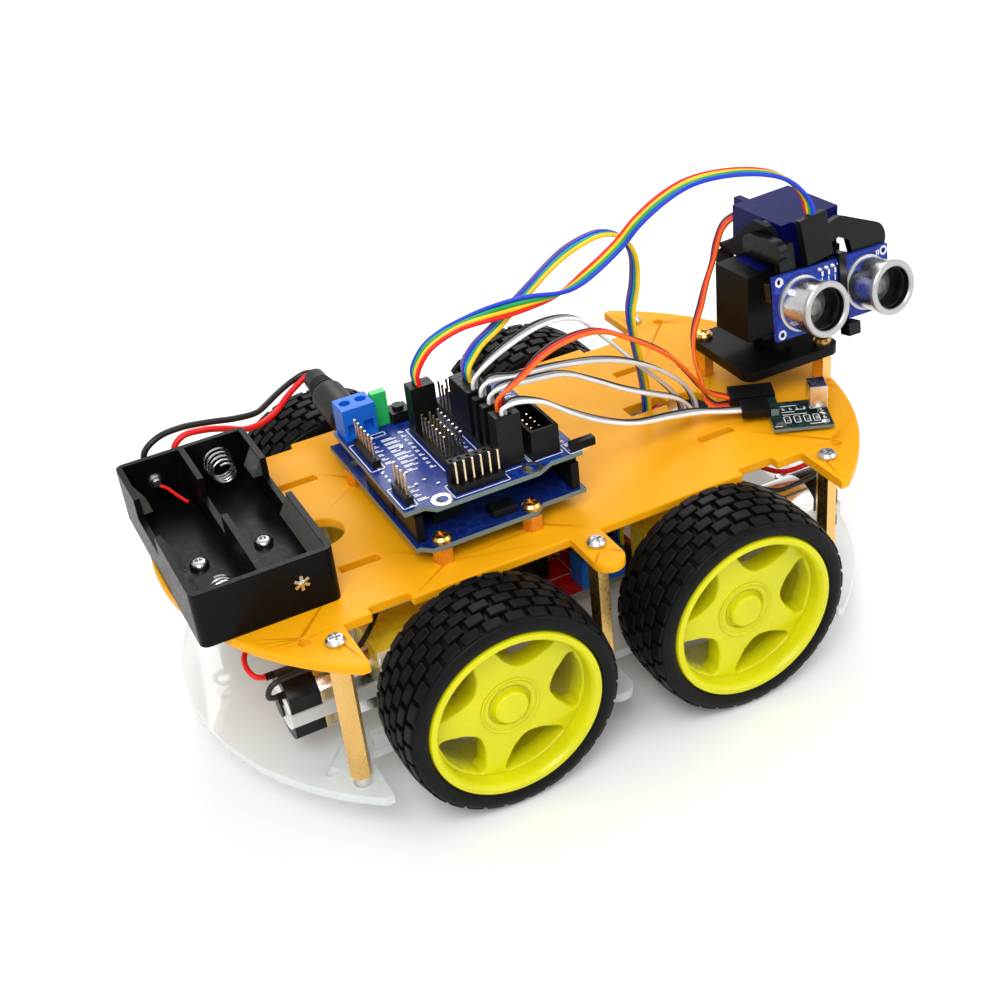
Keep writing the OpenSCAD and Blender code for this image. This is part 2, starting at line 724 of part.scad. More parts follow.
module reset_button() at_mid() {
    color(black) rod(3.4, 2.6, [reset_at[0], reset_at[1], shield_top + 2.1]);
}

module housing(at) {
    box([7.6, 2.5, housing_top - housing_z], [at[0], at[1] - 2.52, housing_z]);
}

module jumper_housings() at_mid() {
    color(black) {
        for (k = [0, 1]) housing([block_a[0], -0.8 + block_a[1] - pitch * k - 0.3]);
        for (k = housing_rows) housing([block_b[0], block_b[1] - pitch * k]);
    }
}

// Battery box

module battery_box() at_mid() {
    color(black) translate([bat_c[0], bat_c[1], deck_z]) difference() {
        linear_extrude(bat_h) hull() for (sx = [-1, 1], sy = [-1, 1])
            translate([sx * (bat_l / 2 - 2.5), sy * (bat_w / 2 - 2.5)]) circle(r = 2.5);
        for (s = [-1, 1])
            box([(bat_l - 3 * bat_wall) / 2, bat_w - 2 * bat_wall, bat_h],
                [s > 0 ? bat_wall / 2 : -bat_l / 2 + bat_wall, -bat_w / 2 + bat_wall, bat_wall]);
        box([bat_l + 2, 22, bat_h], [-bat_l / 2 - 1, -5.5, 10.5]);
        for (s = [-1, 1]) rod(m3_hole, 4, [s * 9.6, bat_screw_y, -1]);
    }
}

module battery_contacts() at_mid() {
    plate = 0.5;
    end = bat_w / 2 - bat_wall;
    turns = 4;
    color(steel) translate([bat_c[0], bat_c[1], deck_z]) for (s = [-1, 1]) {
        translate([s * 9.6, -end, 9.5]) box([12, plate, 10], [-6, 0, -5]);
        translate([s * 9.6, end - plate, 9.5]) box([12, plate, 10], [-6, 0, -5]);
        translate([s * 9.6, 0, 9.5]) for (k = [0:turns - 1])
            translate([0, s * (end - plate - 0.6 - 1.7 * k), 0]) rotate([90, 0, 0])
                rotate_extrude() translate([4.4 - 0.5 * k, 0]) circle(d = 0.9, $fn = 16);
        translate([s * 9.6, bat_screw_y, bat_wall]) pan_screw(7);
    }
    color(steel) translate([bat_c[0] + 9.6, bat_c[1] - bat_w / 2 - 0.02, deck_z + 9.5])
        rotate([90, 0, 0]) rod(4.8, 0.7, [0, 0, 0]);
}

module dc_plug() {
    color(black) at_uno() translate([-1.8, 7.8, 6.2]) rotate([0, -87, 0]) {
        rod(5.5, 8.5, [0, 0, -8]);
        rod(11, 17, [0, 0, 0.4]);
        rod(9, 6, [0, 0, 17.3]);
        rod(7.4, 6, [0, 0, 23.2]);
    }
}

// Head

module at_head() {
    at_mid() translate(head) children();
}

module at_pan() {
    at_head() rotate([0, 0, pan_at_rest]) children();
}

module at_tilt() {
    at_pan() translate([tilt_x, 0, tilt_z]) rotate([0, -tilt_at_rest, 0])
        translate([-tilt_x, 0, -tilt_z]) children();
}

module at_sonar() {
    at_tilt() translate(sonar_c) rotate([sonar_skew, 0, 0]) children();
}

module gimbal_base() {
    r = 3.5;
    x = base_s[0] / 2 - r;
    y = base_s[1] / 2 - r;
    color(black) at_head() translate([0, 0, -base_t]) difference() {
        hull() for (sx = [-1, 1], sy = [-1, 1]) rod(2 * r, base_t, [sx * x, sy * y, 0]);
        for (p = gimbal_posts) rod(m3_hole, base_t + 2, [p[0], p[1], -1]);
        rod(2.2, base_t + 2, [0, 0, -1]);
    }
}

servo_spline = 4.8;

module pan_horn() {
    color("#f0f0ec") at_head() {
        cylinder(d = 7, h = 3.6);
        rotate(pan_at_rest) box([20, 5, 1.4], [-10, -2.5, 0]);
        rod(servo_spline, 8, [0, 0, 0.1]);
        rod(2, base_t, [0, 0, -base_t + 0.05]);
    }
}

// Servo body: shaft along +z at the origin, gear case face at z = 0, body below it, long side
// along y
module servo_body() {
    w = 12.2;
    l = 22.8;
    h = 22.5;
    near = 6.3;
    difference() {
        union() {
            box([w, l, h], [-w / 2, -near, -h]);
            box([w, 32.2, 2.5], [-w / 2, -near - 4.7, -6.8]);
            rod(11.8, 1.2, [0, 0, -0.1]);
        }
        rod(servo_spline + 2 * fit, 20, [0, 0, -6]);
        for (y = [-near - 2.4, l - near + 2.4]) rod(2, 6, [0, y, -8]);
    }
}

pan_servo_z = 5.4;

module pan_servo() {
    color("#2230c8") at_pan() translate([0, 0, pan_servo_z]) rotate([0, 180, 0]) servo_body();
}

tilt_servo_y = 1.5;

module tilt_servo() {
    color("#2230c8") at_pan() translate([tilt_x, tilt_servo_y, tilt_z])
        rotate([90, 0, 0]) rotate(90) servo_body();
}

// The turret: a block round the pan servo, a floor under the tilt servo and a cheek beside it
module turret() {
    wall = 1.5;
    gap = 0.1;
    x0 = -6.1 - gap;
    x1 = 6.1 + gap;
    block_y = [-12.6, 24];
    body_y = [-6.3 - gap, 16.5 + gap];
    flange_y = [-11 - gap, 21.2 + gap];
    z0 = 6.2;
    z1 = 27.9;
    floor_x = -19;
    cheek_y = -1.9;
    cheek_t = 1.8;
    color("#1b1b1d") at_pan() {
        difference() {
            union() {
                box([x1 - x0 + 2 * wall, block_y[1] - block_y[0], z1 - z0],
                    [x0 - wall, block_y[0], z0]);
                box([x1 + wall - floor_x, block_y[1] - cheek_y, wall], [floor_x, cheek_y, z1 - wall]);
                difference() {
                    translate([0, cheek_y + cheek_t, 0]) rotate([90, 0, 0]) linear_extrude(cheek_t)
                        polygon([[-21, 17], [3, 17], [x1 + wall, 22], [x1 + wall, 37], [4, 40.2],
                            [-3, 40.2], [-21, 24]]);
                    y_rod(7, cheek_y - 1, cheek_y + cheek_t + 1, [tilt_x, tilt_z]);
                    box([9, 8, 7], [-14, cheek_y - 1, 19]);
                }
            }
            box([x1 - x0, body_y[1] - body_y[0], z1 + gap - z0 + 1], [x0, body_y[0], z0 - 1]);
            box([x1 - x0, flange_y[1] - flange_y[0], 12.3 - z0 + 1], [x0, flange_y[0], z0 - 1]);
        }
    }
}

module sensor_cradle() {
    t = 2.5;
    x = sonar_c[0] - t - 0.1;
    y0 = -5.4;
    y1 = y0 + 3;
    bar_z = 19;
    bar_top = 25;
    color("#1b1b1d") at_tilt() {
        hull() for (p = [[0, tilt_z], [x, tilt_z - 1]]) y_rod(7, y0, y1, p);
        y_rod(servo_spline, y0 + 1, 6.5, [tilt_x, tilt_z]);
        box([t, 6, 16], [x, y0, bar_z]);
        box([t, 42, bar_top - bar_z], [x, -10, bar_z]);
        box([t, 7, bar_top - 7], [x, sonar_c[1], 7]);
        translate([x, 0, 0]) rotate([90, 0, 90]) linear_extrude(t) difference() {
            hull() {
                translate([13, 33.3]) circle(r = 3);
                translate([19.5, 34.6]) circle(r = 3);
                translate([31.3, 26.8]) circle(r = 5.4);
                translate([28, 22]) circle(r = 3);
                translate([13, 26]) circle(r = 3);
            }
            polygon([[5, 24.9], [23, 24.9], [22.1, 29.3], [18.1, 31.4], [14.9, 30.3], [5, 30.3]]);
        }
    }
}

module sonar_board() {
    w = sonar_s[1];
    h = sonar_s[2];
    color(pcb_blue) at_sonar() difference() {
        box(sonar_s, [0, -w / 2, -h / 2]);
        for (sy = [-1, 1], sz = [-1, 1]) translate([-1, sy * (w / 2 - 1.8), sz * (h / 2 - 1.8)])
            rotate([0, 90, 0]) cylinder(d = 1.6, h = 4);
    }
}

module sonar_cans() {
    color(steel) at_sonar() for (s = [-1, 1]) translate([sonar_s[0], 13 * s, 0])
        rotate([0, 90, 0]) difference() {
            union() {
                cylinder(d = sonar_d, h = sonar_l);
                rod(sonar_d + 1, 1.4, [0, 0, sonar_l - 1.4]);
            }
            rod(12.4, 4, [0, 0, sonar_l - 2.2]);
        }
}

module zip_tie() {
    t = 1.1;
    w = tie_w;
    y = tie_y;
    back = -2.7;
    front = sonar_s[0];
    top = sonar_s[2] / 2 + 0.6;
    color(black) at_sonar() {
        difference() {
            box([front - back + 2 * t, w, 2 * top + 2 * t], [back - t, y, -top - t]);
            box([front - back, w + 2, 2 * top], [back, y - 1, -top]);
        }
        box([4, 4.6, 4], [front + t - 0.1, y - 0.9, -top - 3]);
    }
}

module sonar_plug() {
    lean = 8;
    at_sonar() translate([0, -4.9, sonar_s[2] / 2 + 1.6]) rotate([lean, 0, 0]) {
        color(black) box([2.5, 10.2, 14], [0.02, -5.1, 0]);
        color(pin_gold) for (k = [-1.5:1.5]) box([0.64, 0.64, 1.1], [0.7, pitch * k - 0.32, -0.9]);
    }
}

// Infrared receiver

module at_ir() {
    translate([mid + ir_c[0], ir_c[1], deck_z]) rotate(ir_turn) children();
}

module ir_board() {
    at_ir() {
        color(black) difference() {
            box([18, 16, 1.4], [-9, -8, 0.8]);
            rod(m3_hole, 4, [-6.4, -5.4, -1]);
        }
        color("#eeeeea") box([12, 12, 0.8], [-4, -6, 0]);
        color(black) box([2.5, 7.6, 2.5], [-8.6, -0.2, 2.2]);
    }
}

module ir_receiver() {
    at_ir() {
        color(steel) box([5.4, 6.4, 7.4], [2.8, -1.5, 4.2]);
        color(pin_gold) for (k = [-1:1]) box([0.5, 0.5, 2.1], [5.3, 1.45 + pitch * 0.8 * k, 2.2]);
    }
}

module deck_connectors() at_mid() {
    color(black) {
        translate([72, -12.4, deck_z]) rotate(ir_turn) {
            box([14, 7.6, 2.5], [0, -5.1, 0]);
            box([14, 7.6, 2.5], [0, -5.1, 2.55]);
        }
        translate([-mid, 0, 0]) at_ir() box([8.6, 7.6, 2.5], [-17.3, -0.2, 2.3]);
    }
}

// Line sensors

module line_sensors() at_mid() {
    for (y = line_ys) translate([line_x, y, 0]) {
        color(brass) translate([4, 0, line_top]) hex_post(lower_z - line_top);
        color(steel) {
            translate([4, 0, lower_top]) pan_screw(4);
            translate([4, 0, line_top - pcb_t]) mirror([0, 0, 1]) pan_screw(2);
        }
        color(pcb_blue) difference() {
            box([20, 11, pcb_t], [-12, -5.5, line_top - pcb_t]);
            rod(m3_hole, 4, [4, 0, line_top - pcb_t - 1]);
        }
        color(black) {
            box([4, 6, 3], [-2, -3, line_top - pcb_t - 3]);
            box([4, 8, 3], [-11, -4, line_top]);
        }
    }
}

// Leads

module sensor_ribbon() color("#d04038") lead(ribbon_pts, 5.2, 1.4, [0, 1, 0.1], [0, 1, 0]);
module driver_ribbon() color("#5060c0") lead(driver_pts, 5.2, 1.4, [0, 1, 0]);
module servo_lead() color("#b03a22") lead(servo_pts, 3.6, 1.3, [0.42, 0.9, 0.15], [0, 0, 1]);
module servo_extension() color("#e0401c") lead(extension_pts, 3.6, 1.3, [0, 1, 0], [1, 0, 0]);
module ir_cable() color("#e8e8e8") lead(ir_pts, 3.6, 1.3, [0, 1, 0], [1, 0, 0]);

module line_cables() {
    color("#bfbfbf") for (p = [line_1_pts, line_2_pts, line_3_pts])
        lead(p, 3.6, 1.3, [0, 1, 0], [1, 0, 0]);
}

module battery_leads() {
    color("#d01818") lead(plus_pts, 2, 2, [0.3, 0.2, 1]);
    color(black) lead(minus_pts, 2, 2, [0.3, 0.2, 1]);
}

module motor_leads() {
    for (sx = [-1, 1], sy = [-1, 1]) {
        color("#d01818") lead(red_lead(sx, sy), 1.6, 1.6, [0, 0, 1], [0, 1, 0]);
        color(black) lead(black_lead(sx, sy), 1.6, 1.6, [0, 0, 1], [0, 1, 0]);
    }
}

lower_plate();
upper_plate();
deck_standoffs();
deck_screws();
motor_brackets();
motor_fasteners();
gearbox_shells();
motor_cans();
motor_end_caps();
motor_straps();
driver_board();
driver_parts();
controller_board();
controller_sockets();
controller_ports();
board_fasteners();
shield_board();
shield_headers();
shield_pins();
shield_terminal();
reset_switch();
reset_button();
jumper_housings();
battery_box();
battery_contacts();
dc_plug();
gimbal_base();
pan_horn();
turret();
pan_servo();
tilt_servo();
sensor_cradle();
sonar_board();
sonar_cans();
zip_tie();
sonar_plug();
ir_board();
ir_receiver();
line_sensors();
deck_connectors();
sensor_ribbon();
driver_ribbon();
servo_lead();
servo_extension();
ir_cable();
line_cables();
battery_leads();
motor_leads();
tyre_front_left();
rim_front_left();
shaft_front_left();
tyre_front_right();
rim_front_right();
shaft_front_right();
tyre_rear_left();
rim_rear_left();
shaft_rear_left();
tyre_rear_right();
rim_rear_right();
shaft_rear_right();
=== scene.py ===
"""The looks of a four wheel robot chassis with a pan and tilt ultrasonic head.

Metres; +X forward, +Y to the robot's left, +Z up, the origin on the ground under the middle.
"""

import math
import random

import bmesh
import bpy
from mathutils import Matrix, Vector


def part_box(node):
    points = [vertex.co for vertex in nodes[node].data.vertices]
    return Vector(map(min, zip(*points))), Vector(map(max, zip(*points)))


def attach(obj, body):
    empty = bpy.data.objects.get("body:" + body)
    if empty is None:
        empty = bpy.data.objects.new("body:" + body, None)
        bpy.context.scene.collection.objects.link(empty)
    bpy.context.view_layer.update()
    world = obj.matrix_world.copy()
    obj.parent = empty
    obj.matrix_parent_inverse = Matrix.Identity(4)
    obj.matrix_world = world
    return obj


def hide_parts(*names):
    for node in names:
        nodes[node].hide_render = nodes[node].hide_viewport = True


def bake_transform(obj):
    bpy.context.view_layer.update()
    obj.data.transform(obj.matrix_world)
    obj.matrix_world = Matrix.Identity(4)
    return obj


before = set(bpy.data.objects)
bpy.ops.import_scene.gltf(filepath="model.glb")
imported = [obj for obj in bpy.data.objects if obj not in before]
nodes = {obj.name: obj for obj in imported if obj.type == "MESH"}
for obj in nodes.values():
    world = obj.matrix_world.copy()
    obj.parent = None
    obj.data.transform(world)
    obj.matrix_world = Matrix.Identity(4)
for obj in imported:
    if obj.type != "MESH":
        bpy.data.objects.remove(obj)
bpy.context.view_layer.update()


# Camera, lights and floor

CAMERA_PLACE = (-0.16638, -0.3570, 0.30005)
CAMERA_AZIMUTH = math.radians(-22.82)
CAMERA_ELEVATION = math.radians(32.73)
CAMERA_ROLL = math.radians(-6.81)


def make_camera():
    cam = bpy.data.cameras.new("camera")
    cam.lens = 53.93
    cam.sensor_width = 36
    cam.shift_x = 0.0080
    cam.shift_y = -0.0068
    a, e, r = CAMERA_AZIMUTH, CAMERA_ELEVATION, CAMERA_ROLL
    back = Vector((math.sin(a) * math.cos(e), -math.cos(a) * math.cos(e), math.sin(e)))
    right = Vector((math.cos(a), math.sin(a), 0))
    up = back.cross(right)
    right, up = (math.cos(r) * right + math.sin(r) * up,
                 math.cos(r) * up - math.sin(r) * right)
    o = bpy.data.objects.new("camera", cam)
    facing = Matrix((right, up, back)).transposed().to_4x4()
    o.matrix_world = Matrix.Translation(CAMERA_PLACE) @ facing
    bpy.context.scene.collection.objects.link(o)
    bpy.context.scene.camera = o


def area_light(name, place, target, size, watts, colour=(1, 1, 1)):
    light = bpy.data.lights.new(name, "AREA")
    light.size = size
    light.energy = watts
    light.color = colour
    o = bpy.data.objects.new(name, light)
    o.location = place
    o.rotation_euler = (Vector(place) - Vector(target)).to_track_quat("Z", "Y").to_euler()
    bpy.context.scene.collection.objects.link(o)


make_camera()
bpy.context.scene.view_settings.view_transform = "Standard"
area_light("key", (-0.5, -0.7, 1.1), (0, 0, 0.05), 0.7, 11)
area_light("fill", (0.9, -0.7, 0.7), (0, 0, 0.05), 0.8, 3.5)
area_light("rim", (0.3, 0.9, 0.9), (0, 0, 0.05), 0.6, 6)
world = bpy.data.worlds.new("studio")
world.use_nodes = True
world.node_tree.nodes["Background"].inputs["Color"].default_value = (1, 1, 1, 1)
world.node_tree.nodes["Background"].inputs["Strength"].default_value = 0.75
bpy.context.scene.world = world


# Materials

def noise(tree, scale, detail=3.0):
    coord = tree.nodes.new("ShaderNodeTexCoord")
    n = tree.nodes.new("ShaderNodeTexNoise")
    n.inputs["Scale"].default_value = scale
    n.inputs["Detail"].default_value = detail
    tree.links.new(coord.outputs["Object"], n.inputs["Vector"])
    return n.outputs["Fac"]


def ramp(tree, value, low, high, start=0.3, end=0.7):
    r = tree.nodes.new("ShaderNodeMapRange")
    r.inputs["From Min"].default_value = start
    r.inputs["From Max"].default_value = end
    r.inputs["To Min"].default_value = low
    r.inputs["To Max"].default_value = high
    tree.links.new(value, r.inputs["Value"])
    return r.outputs["Result"]


def mix(tree, value, a, b):
    m = tree.nodes.new("ShaderNodeMix")
    m.data_type = "RGBA"
    for socket, colour in ((m.inputs["A"], a), (m.inputs["B"], b)):
        if isinstance(colour, tuple):
            socket.default_value = (*colour, 1)
        else:
            tree.links.new(colour, socket)
    tree.links.new(value, m.inputs["Factor"])
    return m.outputs["Result"]


def scaled(colour, k):
    return tuple(min(1, c * k) for c in colour)


def material(name, colour, rough, grain=900, vary=0.1, bump=0.1, spread=0.06, **sockets):
    """A principled material whose colour, roughness and bump come from noise of that grain."""
    m = bpy.data.materials.new(name)
    m.use_nodes = True
    tree = m.node_tree
    shader = tree.nodes["Principled BSDF"]
    coarse = noise(tree, grain / 12)
    tint = mix(tree, ramp(tree, coarse, 0, 1), scaled(colour, 1 - vary), scaled(colour, 1 + vary))
    tree.links.new(tint, shader.inputs["Base Color"])
    fine = noise(tree, grain)
    tree.links.new(ramp(tree, fine, max(0.02, rough - spread), min(1, rough + spread)),
                   shader.inputs["Roughness"])
    if bump:
        b = tree.nodes.new("ShaderNodeBump")
        b.inputs["Strength"].default_value = bump
        b.inputs["Distance"].default_value = 0.0002
        tree.links.new(fine, b.inputs["Height"])
        tree.links.new(b.outputs["Normal"], shader.inputs["Normal"])
    for key, value in sockets.items():
        shader.inputs[key.replace("_", " ")].default_value = value
    return m


def board_material(name, colour, trace, flat=True):
    """Solder mask over faint traces. A board that lies flat has a pale edge of bare laminate."""
    m = material(name, colour, 0.35, grain=1400, vary=0.12, bump=0.05, Coat_Weight=0.1,
                 Coat_Roughness=0.15, Specular_IOR_Level=0.2)
    tree = m.node_tree
    shader = tree.nodes["Principled BSDF"]
    plain = shader.inputs["Base Color"].links[0].from_socket
    coord = tree.nodes.new("ShaderNodeTexCoord")
    cells = tree.nodes.new("ShaderNodeTexVoronoi")
    cells.feature = "DISTANCE_TO_EDGE"
    cells.inputs["Scale"].default_value = 260
    cells.inputs["Randomness"].default_value = 0.6
    tree.links.new(coord.outputs["Object"], cells.inputs["Vector"])
    line = ramp(tree, cells.outputs["Distance"], 1, 0, 0.03, 0.07)
    traced = mix(tree, line, plain, trace)
    if not flat:
        tree.links.new(traced, shader.inputs["Base Color"])
        return m
    geometry = tree.nodes.new("ShaderNodeNewGeometry")
    split = tree.nodes.new("ShaderNodeSeparateXYZ")
    tree.links.new(geometry.outputs["Normal"], split.inputs["Vector"])
    upright = tree.nodes.new("ShaderNodeMath")
    upright.operation = "ABSOLUTE"
    tree.links.new(split.outputs["Z"], upright.inputs[0])
    edge = ramp(tree, upright.outputs["Value"], 1, 0, 0.3, 0.5)
    tree.links.new(mix(tree, edge, traced, (0.15, 0.20, 0.18)), shader.inputs["Base Color"])
    return m


def brushed(name, colour, rough, across=(900, 900, 60)):
    """Metal with fine lines along one direction."""
    m = material(name, colour, rough, grain=500, vary=0.06, bump=0, Metallic=1.0)
    tree = m.node_tree
    shader = tree.nodes["Principled BSDF"]
    coord = tree.nodes.new("ShaderNodeTexCoord")
    stretch = tree.nodes.new("ShaderNodeMapping")
    stretch.inputs["Scale"].default_value = across
    n = tree.nodes.new("ShaderNodeTexNoise")
    n.inputs["Scale"].default_value = 3
    tree.links.new(coord.outputs["Object"], stretch.inputs["Vector"])
    tree.links.new(stretch.outputs["Vector"], n.inputs["Vector"])
    b = tree.nodes.new("ShaderNodeBump")
    b.inputs["Strength"].default_value = 0.12
    b.inputs["Distance"].default_value = 0.0001
    tree.links.new(n.outputs["Fac"], b.inputs["Height"])
    tree.links.new(b.outputs["Normal"], shader.inputs["Normal"])
    return m


def mesh_material():
    """The fine woven guard inside an ultrasonic can."""
    m = material("woven_guard", (0.05, 0.05, 0.05), 0.4, grain=2000, bump=0, Metallic=0.6)
    tree = m.node_tree
    coord = tree.nodes.new("ShaderNodeTexCoord")
    dots = tree.nodes.new("ShaderNodeTexVoronoi")
    dots.inputs["Scale"].default_value = 1500
    dots.inputs["Randomness"].default_value = 0.1
    tree.links.new(coord.outputs["Object"], dots.inputs["Vector"])
    hole = ramp(tree, dots.outputs["Distance"], 0, 1, 0.2, 0.45)
    tree.links.new(mix(tree, hole, (0.01, 0.01, 0.01), (0.42, 0.42, 0.40)),
                   tree.nodes["Principled BSDF"].inputs["Base Color"])
    return m


LOOK = {
    "orange_acrylic": material(
        "orange_acrylic", (0.86, 0.375, 0.004), 0.42, grain=60, vary=0.05, bump=0.0, spread=0.05,
        Specular_IOR_Level=0.12, Subsurface_Weight=0.2, Subsurface_Scale=0.004,
        Subsurface_Radius=(1.0, 0.5, 0.05)),
    "clear_acrylic": material(
        "clear_acrylic", (0.86, 0.93, 0.93), 0.05, grain=80, vary=0.03, bump=0.0, spread=0.02,
        Alpha=0.42, IOR=1.49, Coat_Weight=0.6, Coat_Roughness=0.03),
    "brass": material("brass", (0.80, 0.50, 0.16), 0.3, grain=1200, vary=0.05, bump=0.01,
                      Metallic=1.0),
    "steel": material("steel", (0.66, 0.66, 0.67), 0.26, grain=1500, vary=0.1, bump=0.08,
                      Metallic=1.0),
    "bright": brushed("bright_can", (0.78, 0.78, 0.78), 0.24),
    "gearbox": material(
        "yellow_plastic", (0.85, 0.62, 0.02), 0.28, grain=300, vary=0.12, bump=0.05,
        Subsurface_Weight=0.4, Subsurface_Scale=0.004, Subsurface_Radius=(1.0, 0.9, 0.1),
        Alpha=0.93),
    "black": material("black_plastic", (0.005, 0.005, 0.005), 0.36, grain=1500, vary=0.3,
                      bump=0.12, Specular_IOR_Level=0.2),
    "gloss_black": material("gloss_black", (0.004, 0.004, 0.004), 0.2, grain=500, vary=0.3,
                            bump=0.04, Specular_IOR_Level=0.22),
    "moulded_black": material("moulded_black", (0.0035, 0.0035, 0.0035), 0.34, grain=700,
                              vary=0.3, bump=0.05, Specular_IOR_Level=0.09),
    # Paler than the box's black: painted sheen, standing in for the sky that the black lips
    # reflect at a grazing angle.
    "lip": material("lip_painted_sheen", (0.060, 0.066, 0.056), 0.3, grain=700, vary=0.2, bump=0.04,
                    Specular_IOR_Level=0.3),
    "charcoal": material("charcoal", (0.016, 0.016, 0.017), 0.45, grain=1800, vary=0.2, bump=0.15,
                         Specular_IOR_Level=0.25),
    "strip": material("clear_strip", (0.86, 0.87, 0.84), 0.2, grain=400, vary=0.05, bump=0.05,
                      Alpha=0.6, Coat_Weight=0.4),
    "red_board": board_material("red_board", (0.46, 0.006, 0.006), (0.56, 0.02, 0.015)),
    "blue_board": board_material("blue_board", (0.005, 0.022, 0.20), (0.010, 0.045, 0.28)),
    "navy_board": board_material("navy_board", (0.004, 0.014, 0.12), (0.008, 0.028, 0.17)),
    "sonar_blue": board_material("upright_board", (0.004, 0.022, 0.26), (0.008, 0.045, 0.36),
                                 flat=False),
    "black_board": board_material("black_board", (0.006, 0.016, 0.016), (0.02, 0.05, 0.045)),
    "pin": material("gold_pin", (0.80, 0.66, 0.42), 0.22, grain=2500, vary=0.1, bump=0.05,
                    Metallic=1.0),
    "blue_terminal": material("blue_terminal", (0.006, 0.13, 0.60), 0.36, grain=1200, vary=0.08,
                              bump=0.08, Specular_IOR_Level=0.25),
    "green": material("green_plastic", (0.02, 0.48, 0.11), 0.36, grain=1200, vary=0.1, bump=0.08),
    "white": material("white_plastic", (0.78, 0.78, 0.75), 0.4, grain=900, vary=0.04, bump=0.08),
    "servo": material("blue_plastic", (0.003, 0.005, 0.085), 0.3, grain=700, vary=0.1, bump=0.03,
                      Specular_IOR_Level=0.1),
    "rubber": material("rubber", (0.004, 0.004, 0.004), 0.42, grain=2200, vary=0.25, bump=0.25,
                       Specular_IOR_Level=0.11),
    "lime": material("lime_plastic", (0.62, 0.60, 0.004), 0.3, grain=500, vary=0.05, bump=0.03,
                     Coat_Weight=0.1, Coat_Roughness=0.15, Specular_IOR_Level=0.25,
                     Subsurface_Weight=0.2, Subsurface_Scale=0.003,
                     Subsurface_Radius=(0.9, 0.9, 0.1)),
    "silk": material("white_ink", (0.82, 0.83, 0.82), 0.55, grain=2500, vary=0.06, bump=0.1),
    "solder": material("solder", (0.70, 0.70, 0.72), 0.3, grain=2500, vary=0.1, bump=0.2,
                       Metallic=1.0),
    "rim_ring": material("pale_ring", (0.50, 0.50, 0.50), 0.34, grain=900, vary=0.04, bump=0.04,
                         Metallic=0.8),
    "guard": mesh_material(),
}

WIRE_COLOURS = {
    "red": (0.78, 0.012, 0.012), "orange": (0.85, 0.13, 0.005), "yellow": (0.86, 0.56, 0.01),
    "green": (0.01, 0.34, 0.10), "teal": (0.01, 0.32, 0.22), "blue": (0.01, 0.04, 0.55),
    "purple": (0.16, 0.09, 0.28), "grey": (0.30, 0.30, 0.31), "white": (0.80, 0.80, 0.79),
    "black": (0.014, 0.014, 0.014), "brown": (0.06, 0.025, 0.018),
}
WIRE = {name: material("wire_" + name, colour, 0.34, grain=1500, vary=0.08, bump=0.06,
                       Specular_IOR_Level=0.3)
        for name, colour in WIRE_COLOURS.items()}


# Mesh helpers

def finish_mesh(name, bm, materials, smooth_angle=38, outward=False):
    """A linked object from bm, smooth except where faces meet at more than smooth_angle. With
    outward, its faces are first turned outwards."""
    if outward:
        bmesh.ops.recalc_face_normals(bm, faces=bm.faces)
    bm.normal_update()
    limit = math.radians(smooth_angle)
    for f in bm.faces:
        f.smooth = True
    for e in bm.edges:
        if len(e.link_faces) == 2:
            e.smooth = e.calc_face_angle(0) < limit
    mesh = bpy.data.meshes.new(name)
    bm.to_mesh(mesh)
    bm.free()
    for m in materials:
        mesh.materials.append(m)
    o = bpy.data.objects.new(name, mesh)
    bpy.context.scene.collection.objects.link(o)
    return o


def put_on(o, body, node=None):
    """The piece rides on the body and takes the place of the CAD node."""
    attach(o, body)
    if node:
        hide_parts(node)


def bevel(o, width, segments=2, angle=35):
    b = o.modifiers.new("bevel", "BEVEL")
    b.width = width
    b.segments = segments
    b.limit_method = "ANGLE"
    b.angle_limit = math.radians(angle)
    b.use_clamp_overlap = True
    b.harden_normals = False
    return o


def add_box(bm, lo, hi, index=0, matrix=None):
    corners = [Vector((x, y, z)) for z in (lo[2], hi[2]) for y in (lo[1], hi[1])
               for x in (lo[0], hi[0])]
    verts = [bm.verts.new(matrix @ c if matrix else c) for c in corners]
    for loop in ((0, 2, 3, 1), (4, 5, 7, 6), (0, 1, 5, 4), (2, 6, 7, 3), (0, 4, 6, 2),
                 (1, 3, 7, 5)):
        bm.faces.new([verts[i] for i in loop]).material_index = index
    return verts


def lathe(bm, profile, matrix, steps=64, indices=None, closed=False):
    """Revolves (radius, height) points about the matrix's Z. A radius of 0 closes an end."""
    rings = []
    for r, h in profile:
        if r == 0:
            rings.append([bm.verts.new(matrix @ Vector((0, 0, h)))])
            continue
        rings.append([bm.verts.new(matrix @ Vector((r * math.cos(t), r * math.sin(t), h)))
                      for t in (2 * math.pi * k / steps for k in range(steps))])
    pairs = list(zip(rings, rings[1:] + (rings[:1] if closed else [])))
    if not closed:
        pairs = pairs[:len(rings) - 1]
    for i, (a, b) in enumerate(pairs):
        for k in range(steps):
            j = (k + 1) % steps
            corners = ([a[k], a[j]] if len(a) > 1 else [a[0]]) + (
                [b[j], b[k]] if len(b) > 1 else [b[0]])
            face = bm.faces.new(corners)
            face.material_index = indices[i] if indices else 0


def along_axis(place, axis, turn=None):
    """A matrix with its Z along axis, at place."""
    z = Vector(axis).normalized()
    x = (Vector(turn) if turn else Vector((0, 0, 1)) if abs(z.z) < 0.9 else Vector((1, 0, 0)))
    x = (x - z * x.dot(z)).normalized()
    m = Matrix((x, z.cross(x), z)).transposed().to_4x4()
    m.translation = place
    return m


